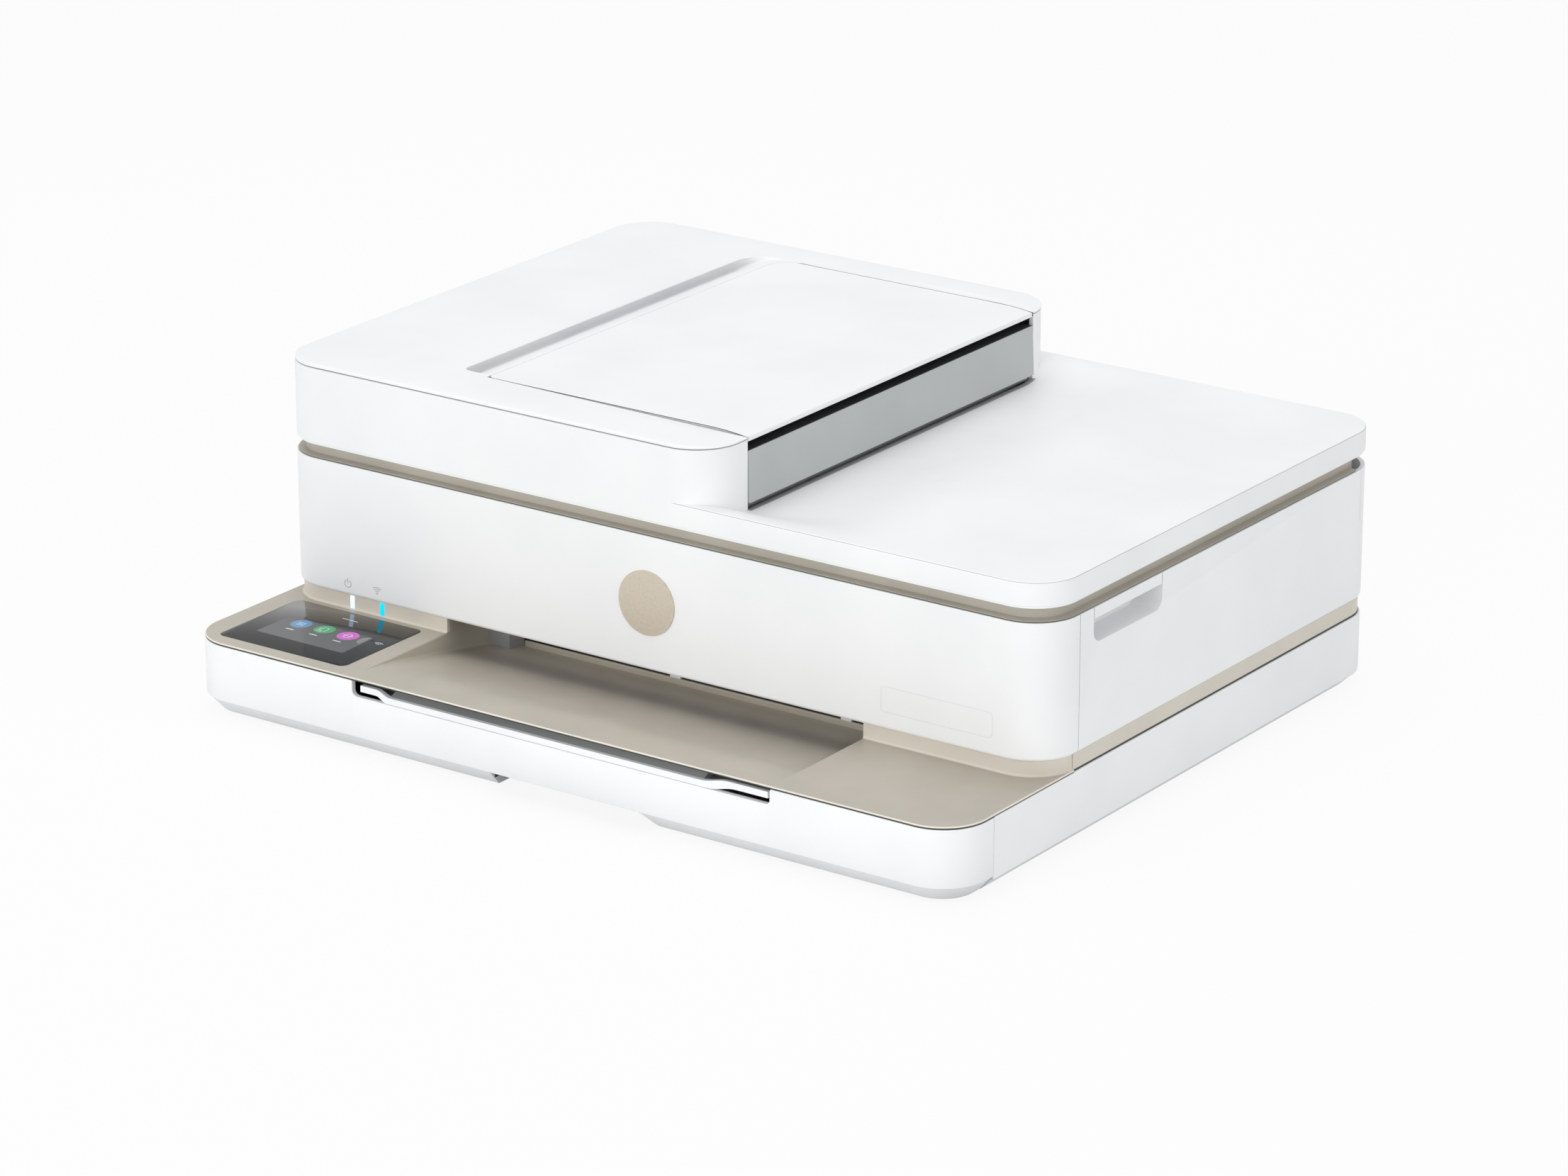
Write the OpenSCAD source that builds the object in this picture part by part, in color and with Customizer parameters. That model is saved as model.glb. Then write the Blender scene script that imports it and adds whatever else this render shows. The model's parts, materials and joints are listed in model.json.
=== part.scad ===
// Inkjet printer with a flatbed scanner and a document feeder on its lid.
// X runs along the front, Y from front to rear, Z up. The origin is on the table,
// under the middle of the outline. The front is at -Y.

/* [Overall] */
// Width over the side panels
width = 432; // [400:1:520]
// Depth from the tray face to the rear panel
depth = 359; // [340:1:440]
// Radius of the outline's upright corners
corner_r = 22.5; // [16:0.5:26]
// Depth of the deck in front of the body
deck_depth = 70.5; // [60:0.5:90]

/* [Heights] */
// Height of the rubber feet
foot_h = 1.5; // [1:0.1:3]
// Bottom edge of the tray face and of the base walls' chamfer
skirt_h = 9.1; // [8:0.1:11]
// Top of the output deck
deck_z = 37.7; // [37:0.1:48]
// Height of the band between deck and body
band_h = 7.1; // [6:0.1:12]
// Height of the body panels
body_h = 64.5; // [60:0.5:80]
// Gap between body and lid that shows the scanner bezel
lid_gap = 6.6; // [6:0.1:8]
// Height of the lid's edge
lid_h = 12.3; // [10:0.1:16]
// Height of the feeder's walls above the lid's bottom edge
feeder_h = 37.7; // [34:0.1:46]
// Height of the feeder's top cover
cover_h = 2.7; // [2:0.1:4]

/* [Walls] */
// Wall of the outer shells
wall = 2.2; // [1.6:0.1:3]
// Wall of the tray face and the base
base_wall = 2.5; // [2.2:0.1:3.5]
// Gap at a visible seam
seam = 0.5; // [0.3:0.05:0.8]
// Clearance between a moving piece and its guide
clearance = 0.3; // [0.2:0.05:0.4]
// Radial clearance of a shaft in its bearing
fit = 0.05; // [0.02:0.01:0.1]

/* [Output] */
// Left edge of the output recess
recess_left = -117.3; // [-125:0.1:-100]
// Right edge of the output recess
recess_right = 118; // [100:0.5:125]
// Slope of the recess floor in degrees
recess_slope = 9.9; // [8:0.1:12]
// Flush strip of deck in front of the recess
recess_lip = 18.5; // [14:0.5:24]
// Depth of the recess under the body
recess_under = 46; // [40:1:50]
// Travel of the output extender
extender_travel = 56; // [40:1:60]
// Length of the extender that stays under the deck when it is pulled out
extender_hold = 18; // [14:1:20]

/* [Paper tray] */
// Inner half width of the tray
tray_half = 204; // [190:1:206]
// Height of the tray's side walls above its floor
tray_wall_h = 12.5; // [8:0.5:13]
// Half width between the paper guides
paper_half = 108; // [100:1:110]
// Height of the paper guides above the tray floor
guide_h = 11; // [8:0.5:11.5]

/* [Print engine] */
// Width of the ink carriage
carriage_w = 92; // [80:1:100]
// Gear module of the paper drive
gear_m = 0.8; // [0.7:0.05:0.85]
// Radius of the feed and output rollers
roller_r = 5.5; // [5:0.1:6]
// Radius of the drive shafts
shaft_r = 2.5; // [2:0.1:3]

/* [Scanner] */
// Inset of the scanner unit from the body outline
bed_inset = 4; // [3.6:0.1:6]
// Depth of the scanner unit's lower housing
bed_h = 14; // [13:0.5:16]
// Length of the window, left to right
window_len = 332; // [310:1:340]
// Depth of the window, front to rear
window_w = 230; // [222:1:236]

/* [Feeder] */
// Width of the feeder
feeder_w = 251; // [240:1:262]
// Depth of the dish in the lid beside the feeder
dish_depth = 7.8; // [5:0.1:8.5]
// Width of the flap, left to right
flap_w = 147; // [135:1:150]
// Setback of the flap's ends from the front edge
flap_front = 29.7; // [26:0.1:34]
// Setback of the flap's end from the rear edge
flap_rear = 22.8; // [20:0.1:28]

/* [Hidden] */
$fn = 48;

eps = 0.01;
over = 1;

// Outline
left = -width / 2;
right = width / 2;
front = -depth / 2;
back = depth / 2;
body_front = front + deck_depth;
side_seam_y = front + 28.5;
panel_seam_y = body_front + 25;
deck_seam_y = body_front + 22.2;
rear_seam_y = back - 19.5;

// Heights
pan_top = 7.5;
deck_t = 2;
edge_t = 0.6;
wall_top = deck_z - edge_t - seam;
ledge_z = wall_top - 1.4;
ledge_inset = 1.4;
band_z = deck_z + band_h;
rim_z = band_z + body_h;
lid_z = rim_z + lid_gap;
lid_top = lid_z + lid_h;
feeder_top = lid_z + feeder_h;
cover_top = feeder_top + cover_h;
rear_split_z = rim_z - 26;

// Output recess
band_inset = 1.5;
recess_front = front + recess_lip;
recess_back = body_front + recess_under;
floor_t = 1.8;
slope = tan(recess_slope);

// Extender
notch_left = -116;
notch_right = 118;
notch_z = wall_top - 7.6;
extender_t = 2;
extender_len = extender_travel + extender_hold;

// Tray
tray_floor_z = foot_h + 2;
tray_floor_t = 1.8;
tray_top = tray_floor_z + tray_floor_t;
guide_top = tray_top + guide_h;
tray_back = back - 30;

// Print engine
teeth_feed = 34;
teeth_transfer = 24;
teeth_output = 16;
teeth_pinion = 10;
motor_shaft_r = 1.2;
engine_z = deck_z - 3.7;
output_y = recess_back + 7;
transfer_y = output_y + gear_m * (teeth_output + teeth_transfer) / 2;
feed_y = transfer_y + gear_m * (teeth_transfer + teeth_feed) / 2;
pinion_y = feed_y + gear_m * (teeth_feed + teeth_pinion) / 2;
paper_z = engine_z + roller_r;
pinch_r = 4;
pinch_z = paper_z + clearance + pinch_r;
platform_t = 2.5;
plate_t = 3;
left_plate_x = left + 17;
right_plate_x = paper_half + 2.5;
gear_x = left + 8;
gear_w = 7;
bay_front = recess_back - 3;
bay_back = feed_y + 22.8;
rail_y = bay_back + 4;
belt_z = band_z + 27;
belt_y = rail_y - 6.5;
belt_w = 5;
belt_t = 1.2;
pulley_r = 6;
pulley_x = right - 24;
head_z = paper_z + 2;
carriage_x = right - 16 - carriage_w;
carriage_front = output_y + 4;
carriage_back = rail_y - 8;
carriage_top = band_z + 41;
pick_y = feed_y + 78.8;
pick_z = band_z - 8.4;
pick_r = 9;
pick_reach = 38;
pick_roller_z = tray_top + 0.4 + pick_r;

// Rear door
door_half = 85;
door_z0 = band_z + 3.8;
door_z1 = rear_split_z - 2.8;
door_axis_y = back - 3.3;
door_axis_z = door_z0 + 2.4;

// Grips
grip_y0 = body_front + 36;
grip_y1 = grip_y0 + 56.8;
grip_z0 = rim_z - 16.8;
grip_z1 = rim_z - 5.2;
grip_depth = 14.5;
grip_r = 5.5;

// Scanner unit
bed_back = back - 8.5;
bed_z0 = rim_z - 13.3;
bezel_z0 = bed_z0 + bed_h;
bezel_z1 = lid_z - seam;
bezel_skin = 2;
glass_t = 2.6;
glass_z = bezel_z1 - bezel_skin;
window_x0 = left + 34;
window_y0 = body_front + 25;
cavity_half = width / 2 - 22;
hinge_y = back - 7.5;
hinge_z = rim_z - 3;
hinge_x = width / 2 - 61;
hinge_half = 19;
hinge_pin_r = 2;
lid_hinge_y = back - 2.6;
lid_hinge_z = lid_z - 3.3;
lid_hinge_x = 110;
lid_pin_r = 1.4;
scan_bar_w = 18;
scan_rail_r = 2.5;

// Feeder
feeder_right = left + feeder_w;
flap_y0 = body_front + flap_front;
flap_y1 = back - flap_rear;
flap_x0 = feeder_right - flap_w - 1;
flap_axis_x = feeder_right - wall - 2.6;
flap_axis_z = feeder_top - 0.3;
flap_pin_r = 1.5;
feeder_floor = lid_z + 5.1;
bed_top = feeder_top - 5.3;
bed_slope = 0.09;
bed_x0 = left + 86;
adf_pick_x = left + 94;
adf_pick_r = 5.5;
adf_pick_z = bed_top - (feeder_right - adf_pick_x) * bed_slope + adf_pick_r + 0.7;
adf_feed_x = left + 46;
adf_feed_r = 11.5;
adf_feed_z = feeder_floor + adf_feed_r + 1;
groove_x = flap_x0 - 17;

// ---- shapes used by several pieces ----

// Rounded rectangle between two corners
module round_rect(x0, y0, x1, y1, r) {
    translate([x0 + r, y0])
        square([x1 - x0 - 2 * r, y1 - y0]);
    translate([x0, y0 + r])
        square([x1 - x0, y1 - y0 - 2 * r]);
    for (x = [x0 + r, x1 - r], y = [y0 + r, y1 - r])
        translate([x, y])
            circle(r);
}

module box(x0, x1, y0, y1, z0, z1) {
    translate([x0, y0, z0])
        cube([x1 - x0, y1 - y0, z1 - z0]);
}

// Prism on the outline, from y0 back, inset from every side
module footprint(y0, inset, z0, z1) {
    translate([0, 0, z0])
        linear_extrude(z1 - z0)
            round_rect(left + inset, y0 + inset, right - inset, back - inset, corner_r - inset);
}

// Upright wall that follows the outline
module outline_wall(y0, inset, t, z0, z1) {
    difference() {
        footprint(y0, inset, z0, z1);
        footprint(y0, inset + t, z0 - over, z1 + over);
    }
}

// Tool that rounds the lower outer edge of a prism on the outline, at height z
module lower_edge_round(y0, z, r) {
    module profile() {
        difference() {
            translate([-r, -over])
                square([r + over, r + over]);
            translate([-r, r])
                circle(r);
        }
    }
    along_x(left + corner_r, right - corner_r)
        translate([y0, z])
            mirror([1, 0])
                profile();
    along_y(y0 + corner_r, back - corner_r) {
        translate([right, z])
            profile();
        translate([left, z])
            mirror([1, 0])
                profile();
    }
    for (c = [[right - corner_r, y0 + corner_r, -90], [right - corner_r, back - corner_r, 0],
              [left + corner_r, back - corner_r, 90], [left + corner_r, y0 + corner_r, 180]])
        translate([c[0], c[1], z])
            rotate([0, 0, c[2]])
                rotate_extrude(angle = 90)
                    translate([corner_r, 0])
                        profile();
}

module rod_x(x0, x1, y, z, r) {
    translate([x0, y, z])
        rotate([0, 90, 0])
            cylinder(h = x1 - x0, r = r);
}

module rod_y(y0, y1, x, z, r) {
    translate([x, y0, z])
        rotate([-90, 0, 0])
            cylinder(h = y1 - y0, r = r);
}

// Prism along X from an outline drawn in Y and Z
module along_x(x0, x1) {
    translate([x0, 0, 0])
        rotate([90, 0, 90])
            linear_extrude(x1 - x0)
                children();
}

// Prism along Y from an outline drawn in X and Z
module along_y(y0, y1) {
    translate([0, y1, 0])
        rotate([90, 0, 0])
            linear_extrude(y1 - y0)
                children();
}

// Half wave from one point to another, as points
function wave(a, b, n = 8) =
    [for (i = [0:n]) [a[0] + (b[0] - a[0]) * i / n,
                      a[1] + (b[1] - a[1]) * (1 - cos(180 * i / n)) / 2]];

// Smooth step from 0 at a to 1 at b
function rise(v, a, b) =
    let (t = max(0, min(1, (v - a) / (b - a)))) (1 - cos(180 * t)) / 2;

// Spur gear along X with one tooth at the angle phase, seen from +X
module gear(x0, w, y, z, teeth, phase, bore) {
    pitch = 360 / teeth;
    pitch_r = gear_m * teeth / 2;
    root = pitch_r - 1.2 * gear_m;
    tip = pitch_r + 0.9 * gear_m;
    shape = [[root, -0.29], [tip, -0.13], [tip, 0.13], [root, 0.29]];
    hub = bore + 2;
    web = root - 1.8;
    web_half = 0.8;
    difference() {
        translate([x0, y, z])
            rotate([90, 0, 90])
                linear_extrude(w)
                    polygon([for (i = [0:teeth - 1], p = shape)
                        p[0] * [cos(phase + (i + p[1]) * pitch), sin(phase + (i + p[1]) * pitch)]]);
        rod_x(x0 - over, x0 + w + over, y, z, bore);
        if (web > hub + 1.5)
            for (x = [[x0 - over, x0 + w / 2 - web_half], [x0 + w / 2 + web_half, x0 + w + over]])
                difference() {
                    rod_x(x[0], x[1], y, z, web);
                    rod_x(x[0] - over, x[1] + over, y, z, hub);
                }
    }
}

// ---- base ----

module feet() {
    color("dimgray")
        for (x = [left + 41, right - 41], y = [front + 40, back - 30])
            translate([x, y, 0])
                cylinder(h = foot_h, r1 = 7.5, r2 = 8);
}

// Floor of the base with its chamfered edge
module base_pan() {
    edge = 7;
    rim = 0.6;
    color("gainsboro")
        difference() {
            hull() {
                footprint(front, edge, foot_h, foot_h + eps);
                footprint(front, rim, pan_top - eps, pan_top);
            }
            hull() {
                footprint(front, edge + 2, foot_h + 1.5, foot_h + 1.5 + eps);
                footprint(front, rim + base_wall, pan_top, pan_top + eps);
            }
            box(left, right, front - over, side_seam_y + seam, 0, pan_top + over);
        }
}

// White walls at the sides and the rear, with the ledge that carries deck and frame
module base_shell() {
    color("white")
        difference() {
            outline_wall(front, 0, base_wall, pan_top, wall_top);
            footprint(front, ledge_inset, ledge_z, wall_top + over);
            box(left - over, right + over, front - over, side_seam_y + seam, 0, deck_z);
        }
}

// Height of the recess floor at a given depth
function floor_z(y) = deck_z - max(0, y - recess_front) * slope;

// Deck with the sloping output recess, its walls and the band below the body
module output_deck() {
    edge_in = base_wall + seam;
    color("tan") {
        difference() {
            union() {
                footprint(front, 0, deck_z - edge_t, deck_z);
                footprint(front, edge_in, deck_z - deck_t, deck_z);
                difference() {
                    footprint(front, ledge_inset + 0.1, ledge_z, deck_z);
                    footprint(front, edge_in, ledge_z - over, deck_z - deck_t);
                    box(left - over, right + over, front - over, side_seam_y + seam,
                        ledge_z - over, deck_z - edge_t);
                }
            }
            box(left - over, right + over, deck_seam_y, back + over, 0, rim_z);
            box(recess_left, recess_right, recess_front, back, 0, rim_z);
            display_seat(0.1);
        }
        intersection() {
            outline_wall(body_front, band_inset, 2, deck_z - eps, band_z);
            difference() {
                box(left - over, right + over, body_front - over, deck_seam_y, 0, rim_z);
                box(recess_left, recess_right, body_front - over, back, 0, rim_z);
                for (x = light_xs) light_bar(x, 0.1);
            }
        }
        along_x(recess_left - floor_t, recess_right + floor_t)
            polygon([[recess_front, deck_z], [recess_back, floor_z(recess_back)],
                     [recess_back, floor_z(recess_back) - floor_t],
                     [recess_front - 4, deck_z - floor_t]]);
        for (x = [recess_left - floor_t, recess_right])
            along_x(x, x + floor_t)
                polygon([[recess_front, deck_z], [deck_seam_y, deck_z],
                         [deck_seam_y, band_z - platform_t - clearance],
                         [recess_back, band_z - platform_t - clearance],
                         [recess_back, floor_z(recess_back)], [recess_front, deck_z - eps]]);
        box(recess_left + 37, recess_right + floor_t, recess_back - 1.5, recess_back,
            floor_z(recess_back) - floor_t, floor_z(recess_back) + 3);
    }
}

// Grey block at the left end of the output slot
module slot_guard() {
    y0 = recess_back - 13;
    y1 = recess_back - 1.6;
    color("gray")
        along_x(recess_left, recess_left + 12)
            polygon([[y0, floor_z(y0)], [y1, floor_z(y1)], [y1, floor_z(y0) + 10],
                     [y0 + 2, floor_z(y0) + 9.4], [y0, floor_z(y0) + 8]]);
}

// Seat of the display in the deck, and the display's own shape
module display_seat(gap) {
    translate([0, 0, deck_z - 1.1])
        linear_extrude(1.1 + (gap > 0 ? over : 0.1))
            round_rect(left + 13.4 - gap, front + 9.5 - gap, left + 87 + gap, front + 67.1 + gap,
                       6 + gap);
}

module display_glass() {
    color("black")
        display_seat(0);
}

// Upright light bars in the band under the power and wireless marks
light_xs = [left + 42, left + 60];
light_half = 1.2;
module light_bar(x, gap) {
    box(x - light_half - gap, x + light_half + gap, body_front + band_inset - 0.2,
        body_front + band_inset + 3, deck_z + 0.5 - gap, band_z - 0.4 + gap);
}

module light_bars() {
    color("lightcyan")
        for (x = light_xs) light_bar(x, 0);
}

// Frame between base and body: the band round the sides, the platform and the bearings
module mid_frame() {
    ear_w = 4;
    color("tan")
        difference() {
            union() {
                difference() {
                    union() {
                        outline_wall(front, 1.2, base_wall, wall_top + seam, band_z);
                        outline_wall(front, ledge_inset + 0.1, base_wall, ledge_z, band_z);
                        footprint(front, 2, band_z - platform_t, band_z);
                    }
                    box(left, right, front - over, deck_seam_y + seam, 0, rim_z);
                }
                for (s = [-1, 1])
                    box(s * 37 - ear_w / 2, s * 37 + ear_w / 2, pick_y - 6, pick_y + 6,
                        pick_z - 5, band_z - platform_t + eps);
                for (x = [right - 90, right - 14], y = [back - 125, back - 24])
                    translate([x, y, band_z - eps])
                        cylinder(h = 4, r = 3);
            }
            box(left + 6.5, right - 12, bay_front, bay_back, 0, rim_z);
            box(-110, 110, pick_y + 28, back - 18, 0, rim_z);
            rod_x(-60, 60, pick_y, pick_z, 3 + fit);
        }
}

// ---- body panels ----

module badge_disc() {
    color("wheat")
        rod_y(body_front - 0.8, body_front, 0, band_z + 32.6, 15.5);
}

// White front, wrapped round both corners
edge_r = min(2, wall - 0.2);
module front_fascia() {
    color("white")
        difference() {
            intersection() {
                outline_wall(body_front, 0, wall, band_z, rim_z);
                box(left - over, right + over, body_front - over, panel_seam_y, band_z, rim_z);
            }
            lower_edge_round(body_front, band_z, edge_r);
        }
}

// Right-hand panel with the grip that gives access to the scanner unit's tab
module right_side() {
    grip_x = right - grip_depth;
    liner = 2;
    liner_top = grip_z1 - seam;
    difference() {
        union() {
            intersection() {
                outline_wall(body_front, 0, wall, band_z, rim_z);
                box(0, right, panel_seam_y + clearance, back, band_z, rim_z);
            }
            box(grip_x - liner, right - wall + eps, grip_y0 - liner, grip_y1 + liner,
                grip_z0 - liner, liner_top);
        }
        lower_edge_round(body_front, band_z, edge_r);
        box(0, right - 26, panel_seam_y, back + over, 0, rim_z + over);
        box(0, right + over, rear_seam_y, back + over, rear_split_z, rim_z + over);
        along_x(grip_x, right + over)
            round_rect(grip_y0, grip_z0, grip_y1, rim_z + 2 * grip_r, grip_r);
    }
}

module right_panel() {
    color("white")
        right_side();
}

module left_panel() {
    color("white")
        mirror([1, 0, 0])
            right_side();
}

// Rear cover that wraps both rear corners and carries the scanner unit's hinges
module hinge_cover() {
    bracket_half = 10;
    notch_depth = 10;
    color("white")
        difference() {
            union() {
                intersection() {
                    outline_wall(body_front, 0, wall, rear_split_z, rim_z);
                    box(left, right, rear_seam_y + clearance, back, rear_split_z, rim_z);
                }
                for (s = [-1, 1])
                    along_x(s * hinge_x - bracket_half, s * hinge_x + bracket_half) {
                        translate([hinge_y, hinge_z])
                            circle(3.2);
                        polygon([[hinge_y - 3.2, hinge_z], [hinge_y, hinge_z + 3.2],
                                 [back - wall + eps, rim_z - 0.4], [back - wall + eps, hinge_z - 12]]);
                    }
            }
            for (s = [-1, 1]) {
                rod_x(s * hinge_x - 20, s * hinge_x + 20, hinge_y, hinge_z, hinge_pin_r + fit);
                box(s * lid_hinge_x - 13, s * lid_hinge_x + 13, rear_seam_y, back + over,
                    rim_z - notch_depth, rim_z + over);
            }
        }
}

// Back of the body with the door opening, the sockets and the button holes
button_xs = [door_half + 25, door_half + 45];
button_z = band_z + 26;
button_r = 5;
inlet_x = left + 51;
usb_x = right - 56;
module rear_panel() {
    color("white")
        difference() {
            union() {
                box(left + 26, right - 26, back - wall, back, band_z, rear_split_z);
                for (s = [-1, 1])
                    box(s * (door_half + 3) - 2.4, s * (door_half + 3) + 2.4, back - 7, back - wall + eps,
                        band_z, door_axis_z + 4);
            }
            box(-door_half - clearance, door_half + clearance, back - 8, back + over,
                band_z + 1.7, door_z1 + seam);
            rod_x(-door_half - 4, door_half + 4, door_axis_y, door_axis_z, 1.5 + fit);
            box(inlet_x - 12, inlet_x + 12, back - 8, back + over, band_z + 8, band_z + 23);
            box(usb_x - 7, usb_x + 7, back - 8, back + over, band_z + 5, band_z + 18.5);
            for (x = button_xs)
                rod_y(back - 8, back + over, x, button_z, button_r + clearance);
            lower_edge_round(body_front, band_z, edge_r);
        }
}

// Jam door: pins in the rear panel's ears at the bottom edge
module rear_door() {
    color("white") {
        difference() {
            box(-door_half, door_half, back - wall, back, door_z0, door_z1);
            along_x(-22, 22)
                round_rect(back - 1, door_z1 - 8, back + 2, door_z1 - 3, 1);
        }
        rod_x(-door_half - 3.5, door_half + 3.5, door_axis_y, door_axis_z, 1.5);
        for (x = [-70, -35, 0, 35, 66])
            along_x(x, x + 2)
                polygon([[back - wall + eps, door_z0 + 1], [door_axis_y - 1.5, door_axis_z - 1.4],
                         [door_axis_y - 3, door_axis_z + 3], [back - 12, door_z0 + 16],
                         [back - 5, door_z1 - 2], [back - wall + eps, door_z1 - 2]]);
    }
}

module button(x) {
    rod_y(back - 6, back, x, button_z, button_r);
    rod_y(back - 6, back - wall - clearance, x, button_z, button_r + 1.5);
}

module power_button() {
    color("gainsboro")
        button(button_xs[0]);
}

module wireless_button() {
    color("gainsboro")
        button(button_xs[1]);
}

// Figure-eight mains socket
module power_inlet() {
    z = band_z + 15.5;
    color("dimgray")
        difference() {
            box(inlet_x - 12, inlet_x + 12, back - 22, back - 0.3, band_z + 8, band_z + 23);
            hull()
                for (s = [-1, 1])
                    rod_y(back - 14, back + over, inlet_x + s * 4.3, z, 4.3);
        }
}

// ---- paper tray and extender ----

// Low wall of the tray face under the extender
module tray_front() {
    color("white")
        box(notch_left, notch_right, front, front + base_wall, skirt_h, notch_z);
}

// High ends of the tray face with the rounded corners
module tray_corners() {
    color("white")
        difference() {
            outline_wall(front, 0, base_wall, skirt_h, wall_top);
            box(left - over, right + over, side_seam_y, back + over, 0, rim_z);
            box(notch_left, notch_right, front - over, front + 8, 0, rim_z);
        }
}

// Tray with its chamfered skirt, finger opening, floor and side walls
module paper_tray() {
    edge = 7;
    cut_x0 = -37;
    cut_x1 = 45;
    color("gainsboro")
        difference() {
            union() {
                intersection() {
                    hull() {
                        footprint(front, edge, foot_h + 0.2, foot_h + 0.2 + eps);
                        footprint(front, 0.4, skirt_h - eps, skirt_h);
                    }
                    box(left, right, front, side_seam_y, 0, skirt_h);
                }
                box(-tray_half, tray_half, side_seam_y - 2, tray_back, tray_floor_z, tray_top);
                for (s = [-1, 1])
                    box(s * tray_half - 1, s * tray_half + 1, front + 12, tray_back,
                        tray_floor_z, tray_top + tray_wall_h);
            }
            intersection() {
                footprint(front, base_wall + 1.5, tray_top, skirt_h + over);
                box(left, right, front, side_seam_y + over, 0, skirt_h + over);
                difference() {
                    box(left, right, front, back, 0, rim_z);
                    for (s = [-1, 1])
                        box(s * tray_half - 1, s * tray_half + 1, front, back, 0, rim_z);
                }
            }
            along_y(front - over, front + 15)
                polygon(concat([[cut_x0, 0], [cut_x0, skirt_h + over]],
                               [[cut_x1 + 4, skirt_h + over]],
                               wave([cut_x1, skirt_h], [cut_x1 + 9, foot_h]), [[cut_x1 + 9, 0]]));
        }
}

// Upright paper guide with a foot on the tray floor
module side_guide(s) {
    x = s * paper_half;
    y0 = feed_y - 12;
    y1 = feed_y + 66;
    z0 = tray_top + clearance;
    difference() {
        union() {
            box(min(x, x + s * 2.5), max(x, x + s * 2.5), y0, y1, z0, guide_top);
            box(min(x - s * 14, x + s), max(x - s * 14, x + s), y0 + 24, y1 - 24, z0, z0 + 1.2);
        }
        translate([x - s * 8, (y0 + y1) / 2, z0 + 0.7])
            cylinder(h = 2, r = 4);
    }
}

module left_tray_guide() {
    color("steelblue")
        side_guide(-1);
}

module right_tray_guide() {
    color("steelblue")
        side_guide(1);
}

// Stop for the front edge of the paper
module length_guide() {
    y = front + 19;
    z0 = tray_top + clearance;
    color("steelblue") {
        box(-16, 16, y, y + 2.5, z0, guide_top - 2);
        box(-16, 16, y + 2, y + 20, z0, z0 + 1.2);
    }
}

// Sliding extender: a wavy lip in the tray's notch and a sloping plate behind it
module output_extender() {
    lip_y = front + base_wall;
    lip_z = notch_z + clearance;
    tab = 2.6;
    h = 3;
    x0 = notch_left + 5;
    x1 = notch_right - 1;
    low = concat([[x0, lip_z + tab]], wave([x0 + 9, lip_z + tab], [x0 + 15, lip_z]),
                 wave([x1 - 33, lip_z], [x1 - 17, lip_z + tab]), [[x1, lip_z + tab]]);
    high = concat([[x1, lip_z + tab + h]], wave([x1 - 21, lip_z + tab + h], [x1 - 37, lip_z + h]),
                  wave([x0 + 17, lip_z + h], [x0 + 9, lip_z + tab + h]), [[x0, lip_z + tab + h]]);
    top = lip_z + h;
    plate_end = lip_y + extender_len;
    color("whitesmoke") {
        along_y(front, lip_y)
            polygon(concat(low, high));
        along_x(x0 + 16, x1 - 36)
            polygon([[lip_y - 0.5, top], [lip_y + 5, top + 2.2], [lip_y + 7, top + 1.2],
                     [lip_y + 7, top - 1.2], [lip_y - 0.5, top - extender_t]]);
        along_x(x0 + 3, x1 - 3)
            polygon([[lip_y + 2, top - 2 * slope], [plate_end, top - extender_len * slope],
                     [plate_end, top - extender_len * slope - extender_t],
                     [lip_y + 2, top - 2 * slope - extender_t]]);
    }
}

// ---- print engine ----

// Table under the print head, with the side plates that hold the shafts
module platen_frame() {
    table_y0 = output_y + roller_r + 1;
    table_y1 = feed_y - roller_r - 1;
    table_z = paper_z - 0.4;
    low_z = head_z - 1;
    color("dimgray")
        difference() {
            union() {
                for (x = [left_plate_x, right_plate_x])
                    along_x(x, x + plate_t)
                        polygon([[bay_front - 8, band_z], [bay_front - 8, band_z + 2],
                                 [bay_front + 3, band_z + 2], [bay_front + 3, low_z],
                                 [feed_y - 8, low_z], [feed_y - 6, pinch_z + 4],
                                 [feed_y + 6, pinch_z + 4], [feed_y + 8, band_z + 3],
                                 [rail_y - 0.4, band_z + 3], [rail_y - 0.4, band_z],
                                 [bay_back - 0.5, band_z], [bay_back - 0.5, engine_z - 7],
                                 [feed_y - 4, engine_z - 8], [output_y - 5, engine_z - 6],
                                 [bay_front + 1, engine_z - 2], [bay_front + 1, band_z]]);
                box(left_plate_x, right_plate_x + plate_t, table_y0, table_y1, engine_z, table_z - 3);
                for (i = [0:14])
                    box(-106 + i * 15 - 1, -106 + i * 15 + 1, table_y0, table_y1, engine_z, table_z);
            }
            for (y = [output_y, feed_y])
                rod_x(left, right, y, engine_z, shaft_r + fit);
            rod_x(left, right, feed_y, pinch_z, 1.5 + fit);
            rod_x(left, -paper_half - 60, pinion_y, engine_z, motor_shaft_r + fit);
            rod_x(left, -paper_half - 60, transfer_y, engine_z, 1.5 + fit);
        }
}

// Shaft with a row of rubber rollers
module roller_shaft(y, z, shaft_radius, r, x0, x1, count) {
    rod_x(x0, x1, y, z, shaft_radius);
    for (i = [0:count - 1]) {
        x = -100 + i * 200 / (count - 1);
        rod_x(x - 8, x + 8, y, z, r);
    }
}

module feed_shaft() {
    color("darkgray")
        roller_shaft(feed_y, engine_z, shaft_r, roller_r, gear_x, right_plate_x + plate_t + 2, 6);
}

module feed_gear() {
    color("ivory")
        gear(gear_x, gear_w, feed_y, engine_z, teeth_feed, 180, shaft_r);
}

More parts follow.
